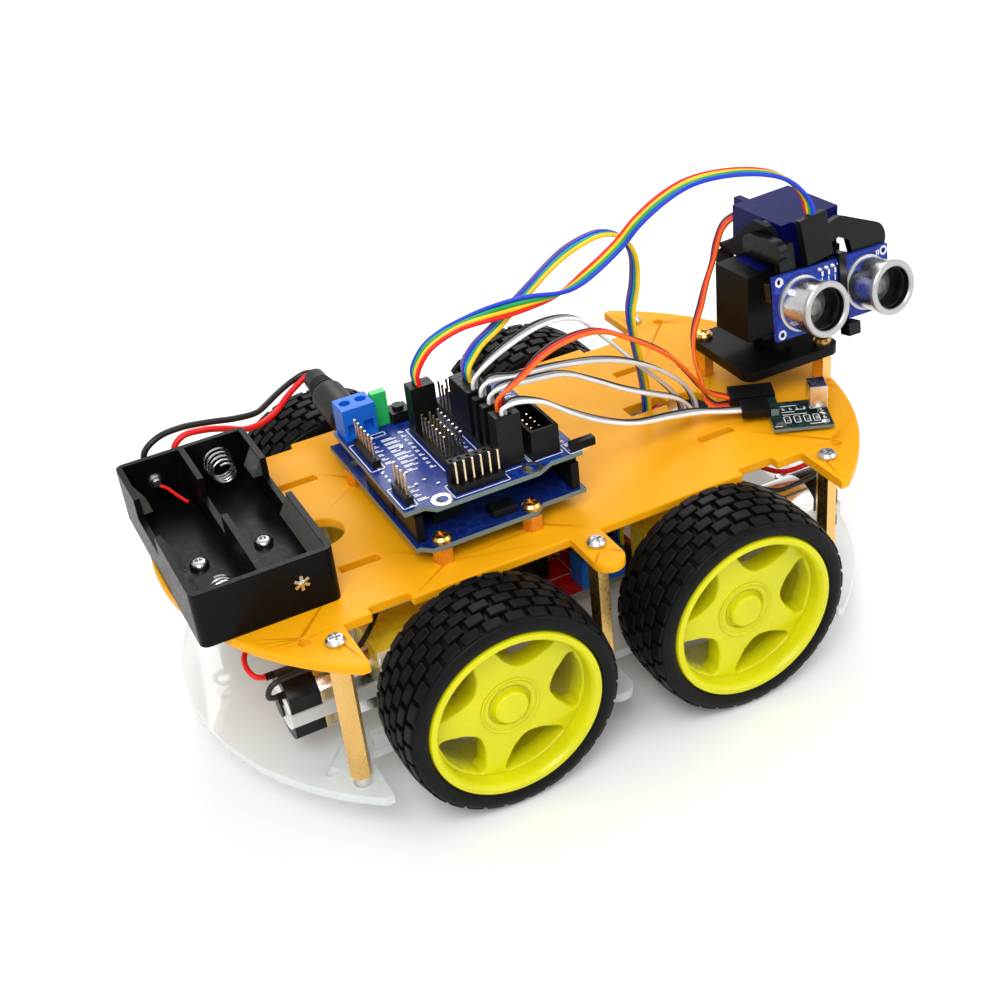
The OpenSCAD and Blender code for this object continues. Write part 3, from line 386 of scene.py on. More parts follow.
def curve_line(points, per_span=6):
    """A smooth line through the points, as a centripetal spline."""
    pts = [Vector(p) for p in points]
    pts = [2 * pts[0] - pts[1]] + pts + [2 * pts[-1] - pts[-2]]
    line = []
    for i in range(1, len(pts) - 2):
        p = pts[i - 1:i + 3]
        t = [0.0]
        for a, b in zip(p, p[1:]):
            t.append(t[-1] + max((b - a).length, 1e-6) ** 0.5)
        for k in range(per_span):
            u = t[1] + (t[2] - t[1]) * k / per_span
            a1, a2, a3 = (p[j] * ((t[j + 1] - u) / (t[j + 1] - t[j]))
                          + p[j + 1] * ((u - t[j]) / (t[j + 1] - t[j])) for j in range(3))
            b1 = a1 * ((t[2] - u) / (t[2] - t[0])) + a2 * ((u - t[0]) / (t[2] - t[0]))
            b2 = a2 * ((t[3] - u) / (t[3] - t[1])) + a3 * ((u - t[1]) / (t[3] - t[1]))
            line.append(b1 * ((t[2] - u) / (t[2] - t[1])) + b2 * ((u - t[1]) / (t[2] - t[1])))
    return line + [pts[-2]]


def tube(bm, line, radius, index=0, sides=10):
    """A closed round tube along the line."""
    rings = []
    side = None
    for i, p in enumerate(line):
        d = (line[min(i + 1, len(line) - 1)] - line[max(i - 1, 0)]).normalized()
        if side is None:
            side = d.orthogonal()
        side = (side - d * side.dot(d)).normalized()
        other = d.cross(side)
        rings.append([bm.verts.new(p + radius * (math.cos(t) * side + math.sin(t) * other))
                      for t in (2 * math.pi * k / sides for k in range(sides))])
    for a, b in zip(rings, rings[1:]):
        for k in range(sides):
            j = (k + 1) % sides
            bm.faces.new((a[k], a[j], b[j], b[k])).material_index = index
    bm.faces.new(rings[0][::-1]).material_index = index
    bm.faces.new(rings[-1]).material_index = index


def ribbon_strands(line, count, pitch, across, start_across, settle, ripple=0.00012, seed=1,
                   half_twist=None):
    """Lines of the conductors of a flat lead, side by side. The lead lies across start_across
    at its start, and across "across" from the index settle on. It turns over between the two
    indices of half_twist."""
    rng = random.Random(seed)
    phase = [rng.uniform(0, 6.28) for _ in range(count)]
    strands = [[] for _ in range(count)]
    for i, p in enumerate(line):
        d = (line[min(i + 1, len(line) - 1)] - line[max(i - 1, 0)]).normalized()
        f = min(i / settle, 1)
        c = Vector(start_across) * (1 - f) + Vector(across) * f
        a = (c - d * c.dot(d)).normalized()
        b = d.cross(a)
        if half_twist:
            g = min(max((i - half_twist[0]) / (half_twist[1] - half_twist[0]), 0), 1)
            turn = math.pi * g * g * (3 - 2 * g)
            a, b = (a * math.cos(turn) + b * math.sin(turn),
                    b * math.cos(turn) - a * math.sin(turn))
        free = min(i, len(line) - 1 - i, 12) / 12
        for k in range(count):
            wave = ripple * free * math.sin(phase[k] + i * 0.35)
            strands[k].append(p + a * (k - (count - 1) / 2) * pitch + b * wave)
    return strands


# Leads

RIBBON_ROUTE = [
    (-0.036, -0.0016, 0.097), (-0.036, -0.0016, 0.101), (-0.032, -0.002, 0.107),
    (-0.025, -0.002, 0.11), (-0.016, -0.003, 0.112), (-0.002, -0.005, 0.113),
    (0.01, -0.007, 0.114), (0.019, -0.008, 0.118), (0.028, -0.009, 0.124), (0.034, -0.01, 0.13),
    (0.042, -0.011, 0.135), (0.051, -0.012, 0.138), (0.063, -0.013, 0.138),
    (0.074, -0.014, 0.1355), (0.082, -0.0143, 0.1315), (0.087, -0.0145, 0.127),
    (0.0892, -0.0152, 0.1229), (0.08967, -0.016, 0.1191),
]
DRIVER_ROUTE = [
    (-0.023, -0.0082, 0.097), (-0.023, -0.0082, 0.101), (-0.018, -0.0052, 0.1045),
    (-0.01, -0.0022, 0.107), (-0.003, 0.0003, 0.1103), (0.004, 0.0012, 0.1145),
    (0.012, 0.0016, 0.1194), (0.019, 0.0018, 0.1226), (0.028, 0.002, 0.124),
    (0.035, 0.002, 0.121), (0.039, 0.002, 0.114), (0.039, 0.002, 0.105), (0.037, 0.002, 0.096),
    (0.038, 0.002, 0.085), (0.04, 0.002, 0.074), (0.041, 0.002, 0.064), (0.041, 0.002, 0.057),
    (0.0395, -0.001, 0.051), (0.036, -0.006, 0.0475), (0.029, -0.013, 0.046),
    (0.0215, -0.0185, 0.044), (0.0172, -0.0199, 0.0395), (0.0162, -0.0199, 0.035),
    (0.0162, -0.0199, 0.0316),
]
SERVO_ROUTE = [
    (0.097, 0.014, 0.1062), (0.0965, 0.0169, 0.1063), (0.0929, 0.0203, 0.1065),
    (0.0873, 0.0212, 0.1066), (0.0823, 0.0194, 0.1053), (0.0782, 0.0169, 0.1017),
    (0.0745, 0.0138, 0.0975), (0.0708, 0.0117, 0.0925), (0.066, 0.008, 0.087),
    (0.0605, 0.004, 0.0805), (0.057, -0.002, 0.075), (0.0565, -0.006, 0.0695),
    (0.0555, -0.01, 0.065), (0.0572, -0.0128, 0.0629), (0.061, -0.0144, 0.0628),
]
EXTENSION_ROUTE = [
    (-0.023, -0.0298, 0.097), (-0.023, -0.0298, 0.1005), (-0.015, -0.029, 0.105),
    (-0.008, -0.027, 0.108), (0, -0.025, 0.109), (0.012, -0.022, 0.107), (0.024, -0.02, 0.1),
    (0.037, -0.018, 0.09), (0.047, -0.015, 0.078), (0.0546, -0.0122, 0.0685),
    (0.061, -0.0144, 0.0653),
]
IR_ROUTE = [
    (-0.023, -0.0323, 0.097), (-0.023, -0.0323, 0.0988), (-0.0205, -0.033, 0.1004),
    (-0.013, -0.033, 0.098), (-0.003, -0.03, 0.09), (0.009, -0.026, 0.081),
    (0.022, -0.023, 0.074), (0.036, -0.02, 0.07), (0.047, -0.0185, 0.067),
    (0.054, -0.02, 0.0655), (0.06, -0.0224, 0.065),
]
LINE_1_ROUTE = [
    (-0.023, -0.0145, 0.097), (-0.023, -0.0145, 0.0996), (-0.02, -0.0136, 0.1024),
    (-0.01, -0.01, 0.105), (0.002, -0.008, 0.107), (0.014, -0.006, 0.104),
    (0.024, -0.005, 0.094), (0.036, -0.005, 0.08), (0.045, -0.0035, 0.07),
    (0.0505, -0.0023, 0.062), (0.0515, -0.0022, 0.057), (0.053, -0.0026, 0.048),
    (0.0535, -0.0015, 0.034), (0.053, -0.002, 0.02), (0.0535, -0.002, 0.012),
    (0.056, 0.001, 0.0075), (0.062, 0.007, 0.0065), (0.069, 0.013, 0.008),
    (0.074, 0.016, 0.0103), (0.077, 0.016, 0.0105),
]
LINE_2_ROUTE = [
    (-0.023, -0.0196, 0.097), (-0.023, -0.0196, 0.0992), (-0.0206, -0.0188, 0.1008),
    (-0.012, -0.016, 0.098), (0.004, -0.013, 0.095), (0.019, -0.011, 0.091),
    (0.032, -0.01, 0.085), (0.043, -0.008, 0.077), (0.051, -0.0056, 0.0685),
    (0.0542, -0.0047, 0.062), (0.0548, -0.0048, 0.056), (0.0555, -0.006, 0.046),
    (0.056, -0.006, 0.034), (0.0555, -0.005, 0.02), (0.0555, -0.005, 0.012),
    (0.0575, -0.004, 0.007), (0.063, -0.002, 0.006), (0.07, 0, 0.008), (0.074, 0, 0.0103),
    (0.077, 0, 0.0105),
]
LINE_3_ROUTE = [
    (-0.023, -0.0247, 0.097), (-0.023, -0.0247, 0.0992), (-0.0206, -0.0246, 0.1009),
    (-0.011, -0.022, 0.099), (0.002, -0.018, 0.095), (0.013, -0.015, 0.088),
    (0.024, -0.014, 0.081), (0.036, -0.012, 0.074), (0.0455, -0.0098, 0.068),
    (0.0505, -0.0082, 0.0625), (0.0518, -0.008, 0.057), (0.0515, -0.0095, 0.048),
    (0.052, -0.01, 0.034), (0.051, -0.0085, 0.02), (0.052, -0.0085, 0.012),
    (0.055, -0.0095, 0.007), (0.062, -0.013, 0.0063), (0.069, -0.016, 0.008),
    (0.074, -0.016, 0.0103), (0.077, -0.016, 0.0105),
]
PLUS_ROUTE = [
    (-0.0995, 0.0391, 0.07), (-0.0995, 0.041, 0.07), (-0.1, 0.0433, 0.0723),
    (-0.0995, 0.044, 0.076), (-0.096, 0.0445, 0.0784), (-0.0894, 0.0455, 0.0776),
    (-0.0823, 0.048, 0.0744), (-0.076, 0.0503, 0.0708), (-0.07, 0.053, 0.0694),
    (-0.0655, 0.0555, 0.0694), (-0.062, 0.0578, 0.07), (-0.058, 0.0602, 0.0718),
    (-0.053, 0.0618, 0.0742), (-0.0494, 0.062, 0.0759), (-0.0493, 0.0598, 0.0758),
]
MINUS_ROUTE = [
    (-0.109, 0.0391, 0.07), (-0.109, 0.041, 0.07), (-0.1095, 0.0435, 0.0725),
    (-0.1085, 0.0445, 0.077), (-0.1035, 0.045, 0.0802), (-0.096, 0.047, 0.08),
    (-0.087, 0.05, 0.0773), (-0.077, 0.053, 0.0739), (-0.0694, 0.0565, 0.0718),
    (-0.065, 0.0592, 0.0722), (-0.0605, 0.062, 0.073), (-0.054, 0.0652, 0.074),
    (-0.0493, 0.065, 0.0754), (-0.0472, 0.0624, 0.076), (-0.0471, 0.0598, 0.0758),
]

RIBBON_W = 0.0052
LEAD_W = 0.0036
LOOSE_D = 0.002
MOTOR_LEAD_D = 0.0016
MID_X = -0.010
# A lead has turned to its lasting direction after this many steps of its line
SETTLE = 18


def flat_lead(name, route, colours, width, across, start_across=None, node=None, body="chassis",
              seed=1, cut=None,
              half_twist=None):
    """A flat lead of round conductors, side by side across that width."""
    line = curve_line(route)
    pitch = width / len(colours)
    bm = bmesh.new()
    strands = ribbon_strands(line, len(colours), pitch, across, start_across or across, SETTLE,
                             seed=seed, half_twist=half_twist)
    for k, strand in enumerate(strands):
        tube(bm, strand[:cut] if cut else strand, pitch * 0.5, k, sides=10)
    o = finish_mesh(name, bm, [WIRE[c] for c in colours], 60)
    if body:
        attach(o, body)
    if node:
        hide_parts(node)
    return o, line, strands


def round_lead(name, route, colour, diameter, node):
    """A single round lead of that diameter."""
    line = curve_line(route)
    bm = bmesh.new()
    tube(bm, line, diameter / 2, 0, sides=12)
    o = finish_mesh(name, bm, [WIRE[colour]], 60)
    put_on(o, "chassis", node)


# The ribbon's last part is a piece of its own, because it crosses the tilt as well as the pan.
# Both numbers count steps of the ribbon's line.
TIP_FROM = -19
TURNS_OVER = (20, 42)
RIBBON_COLOURS = ("red", "yellow", "green", "blue")
ribbon_line = curve_line(RIBBON_ROUTE)
tip_bm = bmesh.new()
tip_strands = ribbon_strands(ribbon_line, 4, RIBBON_W / 4, (0, 1, 0.1), (0, 1, 0), SETTLE, seed=4,
                             half_twist=TURNS_OVER)
for index, strand in enumerate(tip_strands):
    tube(tip_bm, strand[TIP_FROM:], RIBBON_W / 8, index)
ribbon_tip = finish_mesh("sensor_ribbon_tip", tip_bm,
                         [WIRE[c] for c in RIBBON_COLOURS], 60)
ribbon, _, _ = flat_lead(
    "sensor_ribbon_cord", RIBBON_ROUTE, RIBBON_COLOURS, RIBBON_W,
    (0, 1, 0.1), (0, 1, 0), "sensor_ribbon", body=None, seed=4,
    cut=TIP_FROM + 1, half_twist=TURNS_OVER)
flat_lead("driver_ribbon_cord", DRIVER_ROUTE, ("yellow", "teal", "blue", "purple"), RIBBON_W,
          (0, 1, 0), (0, 1, 0), "driver_ribbon", seed=7)
servo_cord, _, _ = flat_lead(
    "servo_lead_cord", SERVO_ROUTE, ("orange", "red", "brown"), LEAD_W, (0.42, 0.9, 0.15),
    (0, 0, 1), "servo_lead", body=None, seed=9)
flat_lead("servo_extension_cord", EXTENSION_ROUTE, ("orange", "red", "brown"), LEAD_W, (0, 1, 0),
          (1, 0, 0), "servo_extension", seed=11)
flat_lead("ir_cable_cord", IR_ROUTE, ("white", "grey", "black"), LEAD_W, (0, 1, 0), (1, 0, 0),
          "ir_cable", seed=13)
for number, route in enumerate((LINE_1_ROUTE, LINE_2_ROUTE, LINE_3_ROUTE)):
    flat_lead(f"line_cable_{number + 1}", route, ("white", "grey", "black"), LEAD_W, (0, 1, 0),
              (1, 0, 0), "line_cables", seed=17 + number)
round_lead("battery_lead_red", PLUS_ROUTE, "red", LOOSE_D, "battery_leads")
round_lead("battery_lead_black", MINUS_ROUTE, "black", LOOSE_D, "battery_leads")

# The motors' leads, the same at all four but for their far ends at the driver board
DRIVER_X, DRIVER_Y, LEAD_Z = 0.014, -0.004, 0.027
TERMINAL_X = 0.0214


def lead_end(sx, sy, k):
    y = 0.0021 if sx > 0 else -0.0089
    return Vector((MID_X + DRIVER_X + sx * TERMINAL_X, y + sy * k, LEAD_Z))


def both_ways(sx, sy, points):
    return [Vector((MID_X + sx * x, sy * y, z)) for x, y, z in points]


def lead_in(sx, sy, k, far):
    return [lead_end(sx, sy, k) + Vector((sx * x, sy * y, z)) for x, y, z in far]


def black_motor_lead(sx, sy):
    start = [(0.0934, 0.0411, 0.040), (0.0956, 0.0413, 0.0412), (0.0942, 0.041, 0.0442),
             (0.087, 0.0405, 0.045), (0.078, 0.041, 0.0448), (0.070, 0.041, 0.0452),
             (0.062, 0.036, 0.048), (0.056, 0.028, 0.049), (0.048, 0.018, 0.045)]
    end = ([(0.0068, 0.006, 0.011), (0.0046, 0.001, 0.0034), (0.0022, 0, 0), (0, 0, 0)]
           if sx > 0 else
           [(0.028, 0.008, 0.011), (0.014, 0.003, 0.004), (0.0036, 0, 0), (0, 0, 0)])
    return both_ways(sx, sy, start) + lead_in(sx, sy, 0.0013, end)


def red_motor_lead(sx, sy):
    if sx > 0:
        start = [(0.0934, 0.0311, 0.040), (0.0956, 0.0314, 0.0412), (0.0942, 0.032, 0.0442),
                 (0.087, 0.034, 0.045), (0.078, 0.0325, 0.0446), (0.071, 0.025, 0.0464),
                 (0.064, 0.020, 0.0476), (0.055, 0.0156, 0.0445)]
        end = [(0.008, 0.004, 0.004), (0.0046, 0.001, 0.0012), (0.0022, 0, 0), (0, 0, 0)]
    else:
        start = [(0.0934, 0.0311, 0.040), (0.0958, 0.0306, 0.041), (0.097, 0.027, 0.0423),
                 (0.0955, 0.022, 0.0433), (0.090, 0.0185, 0.043), (0.080, 0.0165, 0.040),
                 (0.066, 0.015, 0.036), (0.050, 0.014, 0.033)]
        end = [(0.026, 0.008, 0.003), (0.012, 0.002, 0.001), (0.0036, 0, 0), (0, 0, 0)]
    return both_ways(sx, sy, start) + lead_in(sx, sy, 0.0039, end)


for sx, sy, corner in ((1, 1, "front_left"), (1, -1, "front_right"), (-1, 1, "rear_left"),
                       (-1, -1, "rear_right")):
    round_lead("red_lead_" + corner, red_motor_lead(sx, sy), "red", MOTOR_LEAD_D, "motor_leads")
    round_lead("black_lead_" + corner, black_motor_lead(sx, sy), "black", MOTOR_LEAD_D,
               "motor_leads")


# Wheels

TREAD_DEPTH = 0.0016
TREAD_ROWS = 6
TREAD_BLOCKS = 30


def wheel_matrix(node):
    """The wheel's middle plane at the axle, Z outwards."""
    lo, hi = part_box(node)
    middle = (lo + hi) / 2
    return along_axis(middle, (0, 1 if middle.y > 0 else -1, 0)), (hi.z - lo.z) / 2, hi.y - lo.y


def crown(radius, half, h):
    """Radius of the tread at the distance h from the tyre's middle plane."""
    return radius - 0.0011 * (abs(h) / half) ** 2.5


def make_tyre(side):
    node = "tyre_" + side
    m, radius, width = wheel_matrix(node)
    half = width / 2
    inner = 0.026
    base = radius - TREAD_DEPTH
    bm = bmesh.new()
    profile = [(inner, half - 0.0014), (inner + 0.0005, half - 0.0004), (inner + 0.0014, half),
               (inner + 0.0026, half - 0.0001), (base - 0.0016, half - 0.0001),
               (base - 0.0004, half - 0.0006), (base, half - 0.0018)]
    steps = 6
    tread = [(crown(base, half, half - 0.0024 - (width - 0.0048) * k / steps),
              half - 0.0024 - (width - 0.0048) * k / steps) for k in range(steps + 1)]
    other = [(r, -h) for r, h in reversed(profile)]
    lathe(bm, profile + tread + other, m, steps=96, closed=True)
    row_w = (width - 0.0012) / TREAD_ROWS
    for row in range(TREAD_ROWS):
        h0 = -half + 0.0006 + row * row_w
        outer = row in (0, TREAD_ROWS - 1)
        block_w = row_w - 0.0009
        for k in range(TREAD_BLOCKS):
            turn = 2 * math.pi * (k + 0.5 * (row % 2)) / TREAD_BLOCKS
            arc = 2 * math.pi / TREAD_BLOCKS * (0.80 if outer else 0.76)
            corners = []
            for h in (h0 + 0.00045, h0 + 0.00045 + block_w):
                top = crown(radius, half, h) - (0.0002 if outer else 0)
                for t in (turn - arc / 2, turn, turn + arc / 2):
                    corners.append([Vector((r * math.cos(t), r * math.sin(t), h))
                                    for r in (base - 0.0012, top)])
            v = [[bm.verts.new(m @ c) for c in pair] for pair in corners]
            for a, b in ((0, 1), (1, 2)):
                bm.faces.new((v[a][1], v[b][1], v[b + 3][1], v[a + 3][1]))
                bm.faces.new((v[a][0], v[a + 3][0], v[b + 3][0], v[b][0]))
                bm.faces.new((v[a][0], v[b][0], v[b][1], v[a][1]))
                bm.faces.new((v[a + 3][0], v[a + 3][1], v[b + 3][1], v[b + 3][0]))
            bm.faces.new((v[0][0], v[0][1], v[3][1], v[3][0]))
            bm.faces.new((v[2][0], v[5][0], v[5][1], v[2][1]))
    o = finish_mesh("tread_" + side, bm, [LOOK["rubber"]], 30, True)
    bevel(o, 0.00028, 2, 32)
    put_on(o, "wheel_" + side, node)


SPOKES = 5
FACE_DROP = 0.005
WEB = 0.0066


def window_outline(first):
    """Corners (x, y) of one opening between two spokes, for a smooth closed curve."""
    mid_angle = 2 * math.pi / SPOKES * first
    outer, waist, inner = 0.0226, 0.0165, 0.0118
    out = []
    spoke = math.pi / SPOKES
    for r, half in ((outer, spoke - math.asin(0.0036 / outer)),
                    (waist, spoke - math.asin(0.0034 / waist)),
                    (0.0135, spoke - math.asin(0.0046 / 0.0135)), (inner, 0.0)):
        out.append((r, mid_angle + half))
    left = [(r, 2 * mid_angle - t) for r, t in out[:-1]]
    ring = out + left[::-1]
    top = [(outer + 0.00055 * math.cos(k * 0.5), mid_angle + k * (out[0][1] - mid_angle) / 3)
           for k in (-2, -1, 0, 1, 2)]
    return [(r * math.cos(t), r * math.sin(t)) for r, t in ring + top]


def flat_shape(name, outlines, depth, bevel_depth):
    """A flat plate with openings, centred on its own plane. Each outline is (points, smooth)."""
    curve = bpy.data.curves.new(name, "CURVE")
    curve.dimensions = "2D"
    curve.fill_mode = "BOTH"
    curve.extrude = depth / 2 - bevel_depth
    curve.bevel_depth = bevel_depth
    curve.bevel_resolution = 2
    for points, smooth in outlines:
        if smooth:
            s = curve.splines.new("BEZIER")
            s.bezier_points.add(len(points) - 1)
            for b, (x, y) in zip(s.bezier_points, points):
                b.co = (x, y, 0)
                b.handle_left_type = b.handle_right_type = "AUTO"
            s.resolution_u = 6
        else:
            s = curve.splines.new("POLY")
            s.points.add(len(points) - 1)
            for b, (x, y) in zip(s.points, points):
                b.co = (x, y, 0, 1)
        s.use_cyclic_u = True
    o = bpy.data.objects.new(name, curve)
    bpy.context.scene.collection.objects.link(o)
    mesh = bpy.data.meshes.new_from_object(o.evaluated_get(bpy.context.evaluated_depsgraph_get()))
    bpy.data.objects.remove(o)
    bpy.data.curves.remove(curve)
    return mesh


def circle(radius, count=72):
    turns = [2 * math.pi * k / count for k in range(count)]
    return [(radius * math.cos(t), radius * math.sin(t)) for t in turns]


def make_rim(side):
    node = "rim_" + side
    m, _, _ = wheel_matrix("tyre_" + side)
    tyre_lo, tyre_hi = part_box("tyre_" + side)
    half = (tyre_hi.y - tyre_lo.y) / 2
    hub_in = -half - 0.003
    outer_r = 0.026
    face = half - FACE_DROP
    bm = bmesh.new()
    barrel = [(outer_r - 0.0002, -half + 0.0006), (outer_r, -half + 0.0009),
              (outer_r, half - 0.001), (outer_r - 0.0003, half - 0.0002), (outer_r - 0.0008, half),
              (outer_r - 0.0019, half - 0.0001), (outer_r - 0.0026, half - 0.0008),
              (outer_r - 0.0030, half - 0.0022), (outer_r - 0.0031, face - 0.002),
              (outer_r - 0.0028, face - WEB - 0.002), (outer_r - 0.0021, -half + 0.0012),
              (outer_r - 0.0018, -half + 0.0006)]
    lathe(bm, barrel, m, steps=96, closed=True)
    hub = [(0.0030, hub_in), (0.0058, hub_in), (0.0060, hub_in + 0.0004), (0.0060, face - WEB),
           (0.0087, face - WEB + 0.0004), (0.0089, face + 0.0001), (0.0086, face + 0.0003),
           (0.0080, face - 0.0001), (0.0077, face - 0.0011), (0.0058, face - 0.0013),
           (0.0053, face - 0.0008), (0.0050, face + 0.0009), (0.0045, face + 0.0014),
           (0, face + 0.0015)]
    lathe(bm, hub, m, steps=64)
    lathe(bm, [(0.0030, hub_in), (0.0028, hub_in + 0.0095), (0, hub_in + 0.0095)], m, steps=32)
    for k in range(10):
        t = 2 * math.pi * k / 10
        spot = m @ Matrix.Translation((0.0068 * math.cos(t), 0.0068 * math.sin(t), face - 0.0014))
        lathe(bm, [(0.0005, 0), (0.0004, 0.0004), (0, 0.0005)], spot, steps=10)
    web = flat_shape("web", [(circle(outer_r - 0.0024), False), (circle(0.0070, 48), False)]
                     + [(window_outline(k + 0.5), True) for k in range(SPOKES)], WEB, 0.0007)
    web.transform(m @ Matrix.Rotation(math.radians(90), 4, "Z")
                  @ Matrix.Translation((0, 0, face - WEB / 2 - 0.0002)))
    bm.from_mesh(web)
    bpy.data.meshes.remove(web)
    bmesh.ops.remove_doubles(bm, verts=bm.verts, dist=1e-6)
    o = finish_mesh("spokes_" + side, bm, [LOOK["lime"]], 32, True)
    put_on(o, "wheel_" + side, node)


for side in ("front_left", "front_right", "rear_left", "rear_right"):
    make_tyre(side)
    make_rim(side)


# CAD nodes with more than one finish, split by their solids

def solids(bm):
    """The bmesh's connected groups of faces."""
    seen, groups = set(), []
    for f in bm.faces:
        if f in seen:
            continue
        group, todo = [], [f]
        seen.add(f)
        while todo:
            g = todo.pop()
            group.append(g)
            for e in g.edges:
                for h in e.link_faces:
                    if h not in seen:
                        seen.add(h)
                        todo.append(h)
        groups.append(group)
    return groups


def repaint(node, looks, rule, body="chassis", bevel_width=0.0002):
    """A copy of a CAD node with a finish for each of its solids. rule(middle, size) gives the
    index in looks."""
    bm = bmesh.new()
    bm.from_mesh(nodes[node].data)
    bmesh.ops.remove_doubles(bm, verts=bm.verts, dist=2e-6)
    for group in solids(bm):
        verts = {v for f in group for v in f.verts}
        lo = Vector([min(v.co[i] for v in verts) for i in range(3)])
        hi = Vector([max(v.co[i] for v in verts) for i in range(3)])
        index = rule((lo + hi) / 2, hi - lo)
        for f in group:
            f.material_index = index
    o = finish_mesh(node + "_finished", bm, [LOOK[k] for k in looks], 38)
    if bevel_width:
        bevel(o, bevel_width)
    put_on(o, body, node)
    return o


deck_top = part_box("upper_plate")[1].z
repaint("board_fasteners", ("brass", "steel"),
        lambda c, s: 1 if c.z < deck_top - 0.004 and s.z < 0.0101 and s.x < 0.0058 else 0,
        bevel_width=0.00015)
repaint("driver_parts", ("black", "blue_terminal"),
        lambda c, s: 1 if abs(s.z - 0.010) < 0.0004 and s.x > 0.007 else 0)
repaint("shield_terminal", ("blue_terminal", "green", "black"),
        lambda c, s: 0 if s.x > 0.006 else 1 if s.z > 0.006 else 2)
repaint("controller_ports", ("steel", "black"),
        lambda c, s: 0 if s.x > 0.0100 and s.z > 0.0105 else 1)
repaint("ir_board", ("black_board", "white", "black"),
        lambda c, s: 1 if s.z < 0.001 and s.x < 0.018 else 2 if s.x < 0.012 else 0)
repaint("line_sensors", ("blue_board", "brass", "steel", "black"),
        lambda c, s: 0 if s.x > 0.015 else 1 if s.z < 0.0060 and s.x > 0.0060 and s.x < 0.0066
        else 3 if s.y > 0.0058 else 2)

# Battery springs and plates

def battery_contacts():
    """Springs and buttons on dark plates, the box's two screws, a star shaped rivet on the outside
    of the near end, and the short wire that joins a button to the next bay's contact."""
    box_lo, box_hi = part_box("battery_box")
    middle_x = (box_lo.x + box_hi.x) / 2
    z = box_lo.z + 0.0095
    wall, plate = 0.0018, 0.0005
    wire, spring_r, spring_l, turns = 0.00036, 0.0046, 0.0086, 4.3
    bm = bmesh.new()
    for s in (-1, 1):
        x = middle_x + s * 0.0096
        for y, inward in ((box_lo.y + wall, 1), (box_hi.y - wall, -1)):
            a, b = sorted((y, y + inward * plate))
            add_box(bm, (x - 0.006, a, z - 0.005), (x + 0.006, b, z + 0.005), 1)
            face = y + inward * plate
            if (inward < 0) == (s > 0):
                line = []
                steps = int(turns * 24)
                for k in range(steps + 1):
                    f = k / steps
                    r = spring_r - 0.0013 * f
                    t = 2 * math.pi * turns * f
                    line.append(Vector((x + r * math.cos(t), face + inward * (wire + spring_l * f),
                                        z + r * math.sin(t))))
                tube(bm, line, wire, sides=8)
            else:
                lathe(bm, [(0, 0), (0.0024, 0), (0.0022, 0.0006), (0.0017, 0.0008),
                           (0.0016, 0.0018), (0.0012, 0.0023), (0, 0.0024)],
                      along_axis((x, face, z), (0, inward, 0)), steps=32)
                if inward < 0:
                    start = Vector((x + 0.0006, face - 0.0020, z - 0.0010))
                    tube(bm, curve_line([start, start + Vector((0.0014, -0.0010, -0.0006)),
                                         start + Vector((0.0036, -0.0050, -0.0022)),
                                         start + Vector((0.0056, -0.0085, -0.0034))]),
                         0.00055, 2, sides=8)
        screw = Vector((x, (box_lo.y + box_hi.y) / 2 - 0.0035, box_lo.z + 0.0018))
        pan_head(bm, screw)
        lathe(bm, [(0.00145, 0), (0.00145, -0.0065), (0, -0.0070)], Matrix.Translation(screw), 24)
    star = along_axis((middle_x + 0.0096, box_lo.y - 0.00002, z), (0, -1, 0))
    lathe(bm, [(0, 0), (0.0011, 0), (0.0011, 0.0004), (0.0007, 0.0007), (0, 0.0007)], star, 24)
    for k in range(6):
        arm = star @ Matrix.Rotation(k * math.pi / 3, 4, "Z")
        add_box(bm, (0.0011, -0.00045, 0), (0.0023, 0.00045, 0.00035), 0, arm)
    o = finish_mesh("cell_contacts", bm,
                    [LOOK["steel"], LOOK["moulded_black"], WIRE["red"]], 40, True)
    put_on(o, "chassis", "battery_contacts")


def battery_lips():
    """The sloping lips that hold the cells, along the inside of the box's outer walls. Their paler
    charcoal is painted sheen, not the black plastic's own colour.
    """
    lo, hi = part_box("battery_box")
    wall, drop, reach = 0.0018, 0.0058, 0.0030
    bm = bmesh.new()
    for s in (-1, 1):
        outer = (hi.x if s > 0 else lo.x) - s * wall * 0.98
        for a, b in ((lo.y + 0.0030, lo.y + 0.0325), (lo.y + 0.0555, hi.y - 0.0125)):
            corners = [(outer, hi.z - 0.0004), (outer, hi.z - drop),
                       (outer - s * reach, hi.z - drop)]
            ends = [[bm.verts.new((x, y, z)) for x, z in corners] for y in (a, b)]
            bm.faces.new(ends[0])
            bm.faces.new(ends[1][::-1])
            for k in range(3):
                j = (k + 1) % 3
                bm.faces.new([ends[0][k], ends[1][k], ends[1][j], ends[0][j]])
    # The lips' paler charcoal is painted sheen.
    o = finish_mesh("cell_lips", bm, [LOOK["lip"]], 30, True)
    put_on(o, "chassis")


def pan_head(bm, place, index=0, radius=0.0028, height=0.0020):
    """A domed screw head with a round recess in its top."""
    lathe(bm, [(0, 0), (radius, 0), (radius, height * 0.45), (radius * 0.82, height * 0.82),
               (radius * 0.45, height), (radius * 0.40, height), (radius * 0.30, height * 0.55),
               (0, height * 0.5)], Matrix.Translation(place), 32, [index] * 7)


battery_contacts()
battery_lips()


# The power plug, with a ribbed strain relief

PLUG_MOUTH = (-0.0482, 0.0305, 0.0743)
PLUG_LEAN = math.radians(3)


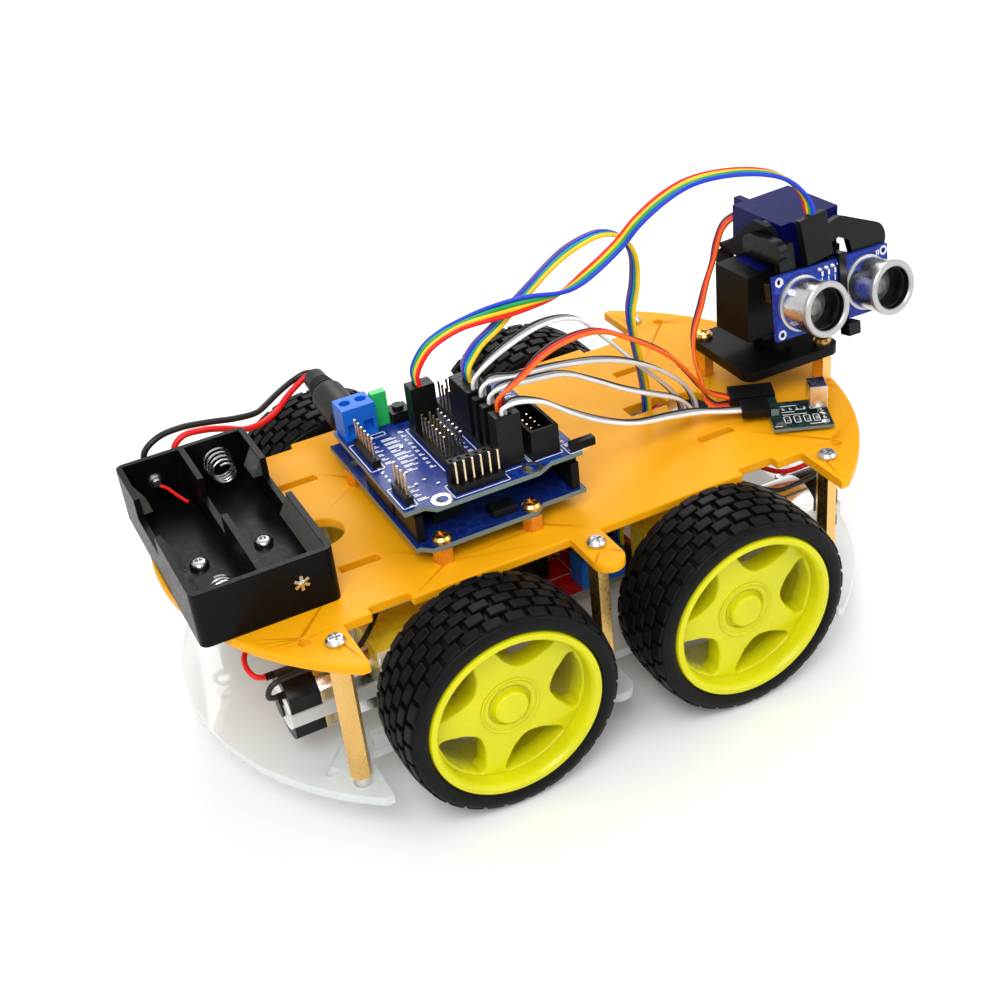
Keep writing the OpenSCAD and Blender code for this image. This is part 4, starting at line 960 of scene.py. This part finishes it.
def power_plug():
    m = along_axis(PLUG_MOUTH, (0, math.cos(PLUG_LEAN), math.sin(PLUG_LEAN)))
    bm = bmesh.new()
    profile = [(0, -0.008), (0.00275, -0.008), (0.00275, 0.0004), (0.0049, 0.0004),
               (0.0055, 0.0010), (0.0055, 0.0150), (0.0054, 0.0162), (0.0050, 0.0171),
               (0.0045, 0.0177)]
    for k in range(4):
        at = 0.0182 + 0.0014 * k
        r = 0.0045 - 0.0002 * k
        profile += [(r - 0.0008, at), (r - 0.0008, at + 0.0005), (r, at + 0.0006),
                    (r, at + 0.0011)]
    profile += [(0.0037, 0.0240), (0.0036, 0.0285), (0.0032, 0.0292), (0, 0.0292)]
    lathe(bm, profile, m, steps=64)
    o = finish_mesh("power_plug", bm, [LOOK["charcoal"]], 40, True)
    bevel(o, 0.00012, 1)
    put_on(o, "chassis", "dc_plug")


power_plug()


# The ultrasonic sensor

PAN_X, PAN_Y = 0.0815, -0.004
PAN_AT_REST, TILT_AT_REST = math.radians(-85), math.radians(10)
HEAD_Z, TILT_Z = 0.0747, 0.0341
SONAR_PLACE = (0.0132, 0.0125, 0.0158)
SONAR_SKEW = math.radians(-3.3)
SONAR_W, SONAR_H, SONAR_T = 0.045, 0.020, 0.0016
HOLE_INSET = 0.0018
CAN_R, CAN_L, CAN_Y = 0.008, 0.0124, 0.013
head_m = (Matrix.Translation((PAN_X, PAN_Y, HEAD_Z)) @ Matrix.Rotation(PAN_AT_REST, 4, "Z")
          @ Matrix.Translation((0, 0, TILT_Z)) @ Matrix.Rotation(-TILT_AT_REST, 4, "Y")
          @ Matrix.Translation((0, 0, -TILT_Z)))
sonar_m = head_m @ Matrix.Translation(SONAR_PLACE) @ Matrix.Rotation(SONAR_SKEW, 4, "X")


def sonar_cans():
    bm = bmesh.new()
    for s in (-1, 1):
        m = sonar_m @ along_axis((SONAR_T, s * CAN_Y, 0), (1, 0, 0))
        shell = [(0, 0), (0.0086, 0), (0.0086, 0.0009), (CAN_R, 0.0011), (CAN_R, CAN_L - 0.0016),
                 (0.0085, CAN_L - 0.0014), (0.0085, CAN_L - 0.0003), (0.0082, CAN_L),
                 (0.0068, CAN_L), (0.0064, CAN_L - 0.0004), (0.0062, CAN_L - 0.0022),
                 (0.0060, CAN_L - 0.0023), (0.0058, CAN_L - 0.0080), (0.0034, CAN_L - 0.0076),
                 (0.0028, CAN_L - 0.0062), (0, CAN_L - 0.0058)]
        paint = [1, 1, 1, 0, 1, 1, 1, 1, 1, 2, 2, 2, 3, 3, 3]
        lathe(bm, shell, m, steps=72, indices=paint)
    o = finish_mesh("ultrasonic_cans", bm,
                    [LOOK[k] for k in ("bright", "rim_ring", "gloss_black", "guard")], 40, True)
    put_on(o, "tilt_head", "sonar_cans")


sonar_cans()


# Ink, pads and small parts on the boards: plain outlines, ticks and dots, no lettering

INK_H = 0.00006
PITCH = 0.00254


def frame_of(bm, x0, y0, x1, y1, z, w=0.00028, m=None):
    """An outline of ink, with lines as wide as w."""
    for a, b in (((x0, y0), (x1, y0 + w)), ((x0, y1 - w), (x1, y1)), ((x0, y0), (x0 + w, y1)),
                 ((x1 - w, y0), (x1, y1))):
        add_box(bm, (*a, z), (*b, z + INK_H), 0, m)


def ticks(bm, x, y, dx, dy, count, z, size=(0.0012, 0.00035), seed=1, m=None):
    """Pairs of short dashes of uneven width, a step of (dx, dy) apart."""
    rng = random.Random(seed)
    for k in range(count):
        w = size[0] * rng.uniform(0.55, 1.0)
        a = (x + dx * k, y + dy * k)
        add_box(bm, (*a, z), (a[0] + w, a[1] + size[1], z + INK_H), 0, m)
        add_box(bm, (a[0], a[1] + size[1] * 1.7, z),
                (a[0] + w * rng.uniform(0.4, 0.9), a[1] + size[1] * 2.7, z + INK_H), 0, m)


def ink(name, bm, body="chassis", look="silk", outward=False):
    o = finish_mesh(name, bm, [LOOK[look]], 60, outward)
    put_on(o, body)
    return o


def shield_ink():
    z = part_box("shield_board")[1].z
    bm = bmesh.new()
    for corners in ((-0.0575, -0.0132, -0.0530, 0.0042), (-0.0575, -0.0360, -0.0530, -0.0240),
                    (-0.0400, -0.0248, -0.0303, 0.0030), (-0.0276, -0.0350, -0.0181, 0.0104),
                    (-0.0434, -0.0392, -0.0264, -0.0316), (-0.0178, -0.0352, -0.0078, -0.0148),
                    (-0.0070, -0.0375, -0.0005, -0.0315)):
        frame_of(bm, *corners, z)
    for x, y, dx, dy, count, size, seed in (
            (-0.0523, 0.0010, 0, -PITCH, 6, (0.0030, 0.0004), 3),
            (-0.0523, -0.0268, 0, -PITCH, 4, (0.0034, 0.0004), 4),
            (-0.0484, 0.0004, 0, -0.0024, 9, (0.0052, 0.00045), 5),
            (-0.0424, 0.0022, 0, -PITCH, 10, (0.0018, 0.0004), 6),
            (-0.0299, 0.0010, 0, -PITCH, 12, (0.0018, 0.0004), 7),
            (-0.0062, -0.0130, 0, 0.0021, 10, (0.0032, 0.0004), 8),
            (-0.0178, 0.0022, 0.0026, 0, 5, (0.0016, 0.0004), 9)):
        ticks(bm, x, y, dx, dy, count, z, size, seed)
    frame_of(bm, -0.0500, 0.0040, -0.0455, 0.0062, z)
    ink("shield_ink", bm)
    bm = bmesh.new()
    rng = random.Random(5)
    for x in (-0.0547, -0.0055):
        for k in range(14):
            m = Matrix.Translation((x, -0.0350 + PITCH * k, z))
            lathe(bm, [(0.0007, 0), (0.0006, 0.00012), (0, 0.00016)], m, 12)
    for k in range(9):
        x, y = rng.uniform(-0.050, -0.044), rng.uniform(-0.033, -0.004)
        add_box(bm, (x, y, z), (x + 0.0009, y + 0.0005, z + 0.0004))
    for x, y in ((-0.0190, -0.0373), (-0.0466, -0.0373)):
        lathe(bm, [(0.0031, 0), (0.0031, 0.00008), (0.0018, 0.00008), (0.0018, 0)],
              Matrix.Translation((x, y, z)), 40, closed=True)
    ink("shield_pads", bm, look="solder", outward=True)


def sonar_ink():
    bm = bmesh.new()
    z = SONAR_T
    m = sonar_m @ along_axis((0, 0, 0), (1, 0, 0), (0, 1, 0))
    for s in (-1, 1):
        for a, b in ((0.0010, 0.0004), (0.0024, 0.0003)):
            x = s * 0.0190 - a / 2
            add_box(bm, (x, 0.0072, z), (x + b, 0.0088, z + 0.00008), 0, m)
    for k in range(4):
        x = -0.0038 + PITCH * k - 0.0004
        add_box(bm, (x, 0.0060, z), (x + 0.0007, 0.0076, z + 0.00008), 0, m)
        add_box(bm, (x, 0.0036, z), (x + 0.0003, 0.0056, z + 0.00008), 0, m)
    ink("sonar_ink", bm, "tilt_head", outward=True)
    bm = bmesh.new()
    for sx in (-1, 1):
        for sy in (-1, 1):
            spot = m @ Matrix.Translation((sx * (SONAR_W / 2 - HOLE_INSET),
                                           sy * (SONAR_H / 2 - HOLE_INSET), z))
            lathe(bm, [(0.0015, 0), (0.0015, 0.0001), (0.0008, 0.0001), (0.0008, 0)], spot, 24,
                  closed=True)
    for k in range(4):
        spot = m @ Matrix.Translation((-0.0038 + PITCH * k - 0.0011, 0.0084, z))
        lathe(bm, [(0.0008, 0), (0.0007, 0.0002), (0.0003, 0.0009), (0, 0.0010)], spot, 14)
    ink("sonar_pads", bm, "tilt_head", "solder", outward=True)


IR_PLACE, IR_TURN = (0.0742, -0.033), math.radians(-25)


def ir_ink():
    z = 0.0022
    m = Matrix.Translation((*IR_PLACE, deck_top)) @ Matrix.Rotation(IR_TURN, 4, "Z")
    bm = bmesh.new()
    for x in (-0.0052, -0.0022, 0.0008, 0.0036):
        frame_of(bm, x, -0.0052, x + 0.0020, -0.0012, z, 0.00025, m)
    for x, y, w in ((-0.0052, -0.0004, 0.0074), (-0.0052, 0.0012, 0.0040),
                    (-0.0008, 0.0022, 0.0030), (-0.0050, 0.0048, 0.0050),
                    (0.0020, -0.0068, 0.0055), (-0.0085, -0.0068, 0.0022)):
        add_box(bm, (x, y, z), (x + w, y + 0.0003, z + INK_H), 0, m)
    ticks(bm, -0.0048, 0.0026, 0.0022, 0, 4, z, (0.0011, 0.0004), 12, m)
    ticks(bm, 0.0066, -0.0040, 0, 0.0021, 4, z, (0.0014, 0.0004), 13, m)
    ink("ir_ink", bm)
    bm = bmesh.new()
    for x in (-0.0046, -0.0016, 0.0014, 0.0042):
        add_box(bm, (x, -0.0044, z), (x + 0.0009, -0.0021, z + 0.0005), 0, m)
    for k in range(3):
        lathe(bm, [(0.0006, 0), (0.0005, 0.0002), (0, 0.0003)],
              m @ Matrix.Translation((0.0065, 0.0015 + 0.0020 * (k - 1), z)), 12)
    lathe(bm, [(0.0012, 0), (0.0012, 0.0003), (0.0005, 0.0006), (0, 0.0006)],
          m @ Matrix.Translation((0.0068, -0.0062, z)), 20)
    ink("ir_pads", bm, look="solder", outward=True)


def driver_ink():
    lo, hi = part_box("driver_board")
    z = hi.z
    bm = bmesh.new()
    frame_of(bm, lo.x + 0.006, lo.y + 0.010, lo.x + 0.019, lo.y + 0.020, z)
    frame_of(bm, hi.x - 0.020, lo.y + 0.002, hi.x - 0.013, lo.y + 0.016, z)
    ticks(bm, hi.x - 0.0125, lo.y + 0.003, 0, PITCH, 5, z, (0.0030, 0.0004), 20)
    ticks(bm, lo.x + 0.010, lo.y + 0.021, 0.003, 0, 5, z, (0.0016, 0.0004), 21)
    for r in (0.0040, 0.0058):
        m = Matrix.Translation((hi.x - 0.0065, lo.y + 0.0130, z))
        lathe(bm, [(r, 0), (r, INK_H), (r - 0.0003, INK_H), (r - 0.0003, 0)], m, 40, closed=True)
    ink("driver_ink", bm, outward=True)
    bm = bmesh.new()
    for s in (-1, 1):
        m = Matrix.Translation(((lo.x + hi.x) / 2 + s * 0.013, (lo.y + hi.y) / 2 - 0.005,
                                z + 0.0105))
        lathe(bm, [(0.0050, -0.0002), (0.0050, 0.00025), (0.0044, 0.0004), (0, 0.0004)], m, 32)
    ink("capacitor_tops", bm, look="solder", outward=True)


shield_ink()
sonar_ink()
ir_ink()
driver_ink()


# Pale discs on the motors' ends

CAN_HALF_WIDTH = 0.0077


def motor_ends():
    bm = bmesh.new()
    lo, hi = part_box("motor_end_caps")
    can_lo, can_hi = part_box("motor_cans")
    z = (can_lo.z + can_hi.z) / 2
    y = can_hi.y - CAN_HALF_WIDTH
    for sx in (-1, 1):
        end = (hi.x if sx > 0 else lo.x) - sx * 0.0025
        for sy in (-1, 1):
            m = along_axis((end, sy * y, z), (sx, 0, 0))
            lathe(bm, [(0.0072, 0), (0.0072, 0.0003), (0.0068, 0.0005), (0.0032, 0.0005),
                       (0.0032, 0)], m, 48, closed=True)
    o = finish_mesh("motor_end_discs", bm, [LOOK["white"]], 40, True)
    put_on(o, "chassis")


motor_ends()


# Finishes of the CAD nodes that keep their own shape, and the width of their edges' rounding

KEPT = {
    "upper_plate": ("orange_acrylic", 0.0005), "lower_plate": ("clear_acrylic", 0.0004),
    "motor_brackets": ("clear_acrylic", 0.0003), "deck_standoffs": ("brass", 0.0002),
    "deck_screws": ("steel", 0.0001), "motor_fasteners": ("steel", 0.0001),
    "gearbox_shells": ("gearbox", 0.0005), "motor_cans": ("bright", 0.0003),
    "motor_end_caps": ("black", 0.0003), "motor_straps": ("strip", 0.0001),
    "driver_board": ("red_board", 0.0001), "controller_board": ("navy_board", 0.0001),
    "controller_sockets": ("black", 0.0002), "shield_board": ("blue_board", 0.0001),
    "shield_headers": ("black", 0.0002), "shield_pins": ("pin", 0.0001),
    "reset_switch": ("black", 0.0002), "reset_button": ("black", 0.0002),
    "jumper_housings": ("black", 0.0002), "battery_box": ("moulded_black", 0.0008),
    "gimbal_base": ("moulded_black", 0.0004), "pan_horn": ("black", 0.0002),
    "turret": ("moulded_black", 0.0003), "pan_servo": ("servo", 0.0003),
    "tilt_servo": ("servo", 0.0003), "sensor_cradle": ("gloss_black", 0.0004),
    "sonar_board": ("sonar_blue", 0.0001), "zip_tie": ("gloss_black", 0.0002),
    "sonar_plug": ("black", 0.0002), "ir_receiver": ("bright", 0.0002),
    "deck_connectors": ("black", 0.0002),
    "shaft_front_left": ("white", 0.0001), "shaft_front_right": ("white", 0.0001),
    "shaft_rear_left": ("white", 0.0001), "shaft_rear_right": ("white", 0.0001),
}
for node, (look, width) in KEPT.items():
    o = nodes[node]
    o.data.materials.clear()
    o.data.materials.append(LOOK[look])
    weld = o.modifiers.new("weld", "WELD")
    weld.merge_threshold = 0.000002
    bevel(o, width, 2, 40)


# Floor

FLOOR_R, FLOOR_Z = 1.6, -0.0001
floor_bm = bmesh.new()
floor_bm.faces.new([floor_bm.verts.new((x, y, FLOOR_Z)) for x, y in circle(FLOOR_R, 48)])
floor = finish_mesh("floor", floor_bm, [material("pale_floor", (0.88, 0.88, 0.88), 0.6, grain=40,
                                                 vary=0.01, bump=0.02)])

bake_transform(ribbon)
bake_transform(ribbon_tip)
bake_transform(servo_cord)
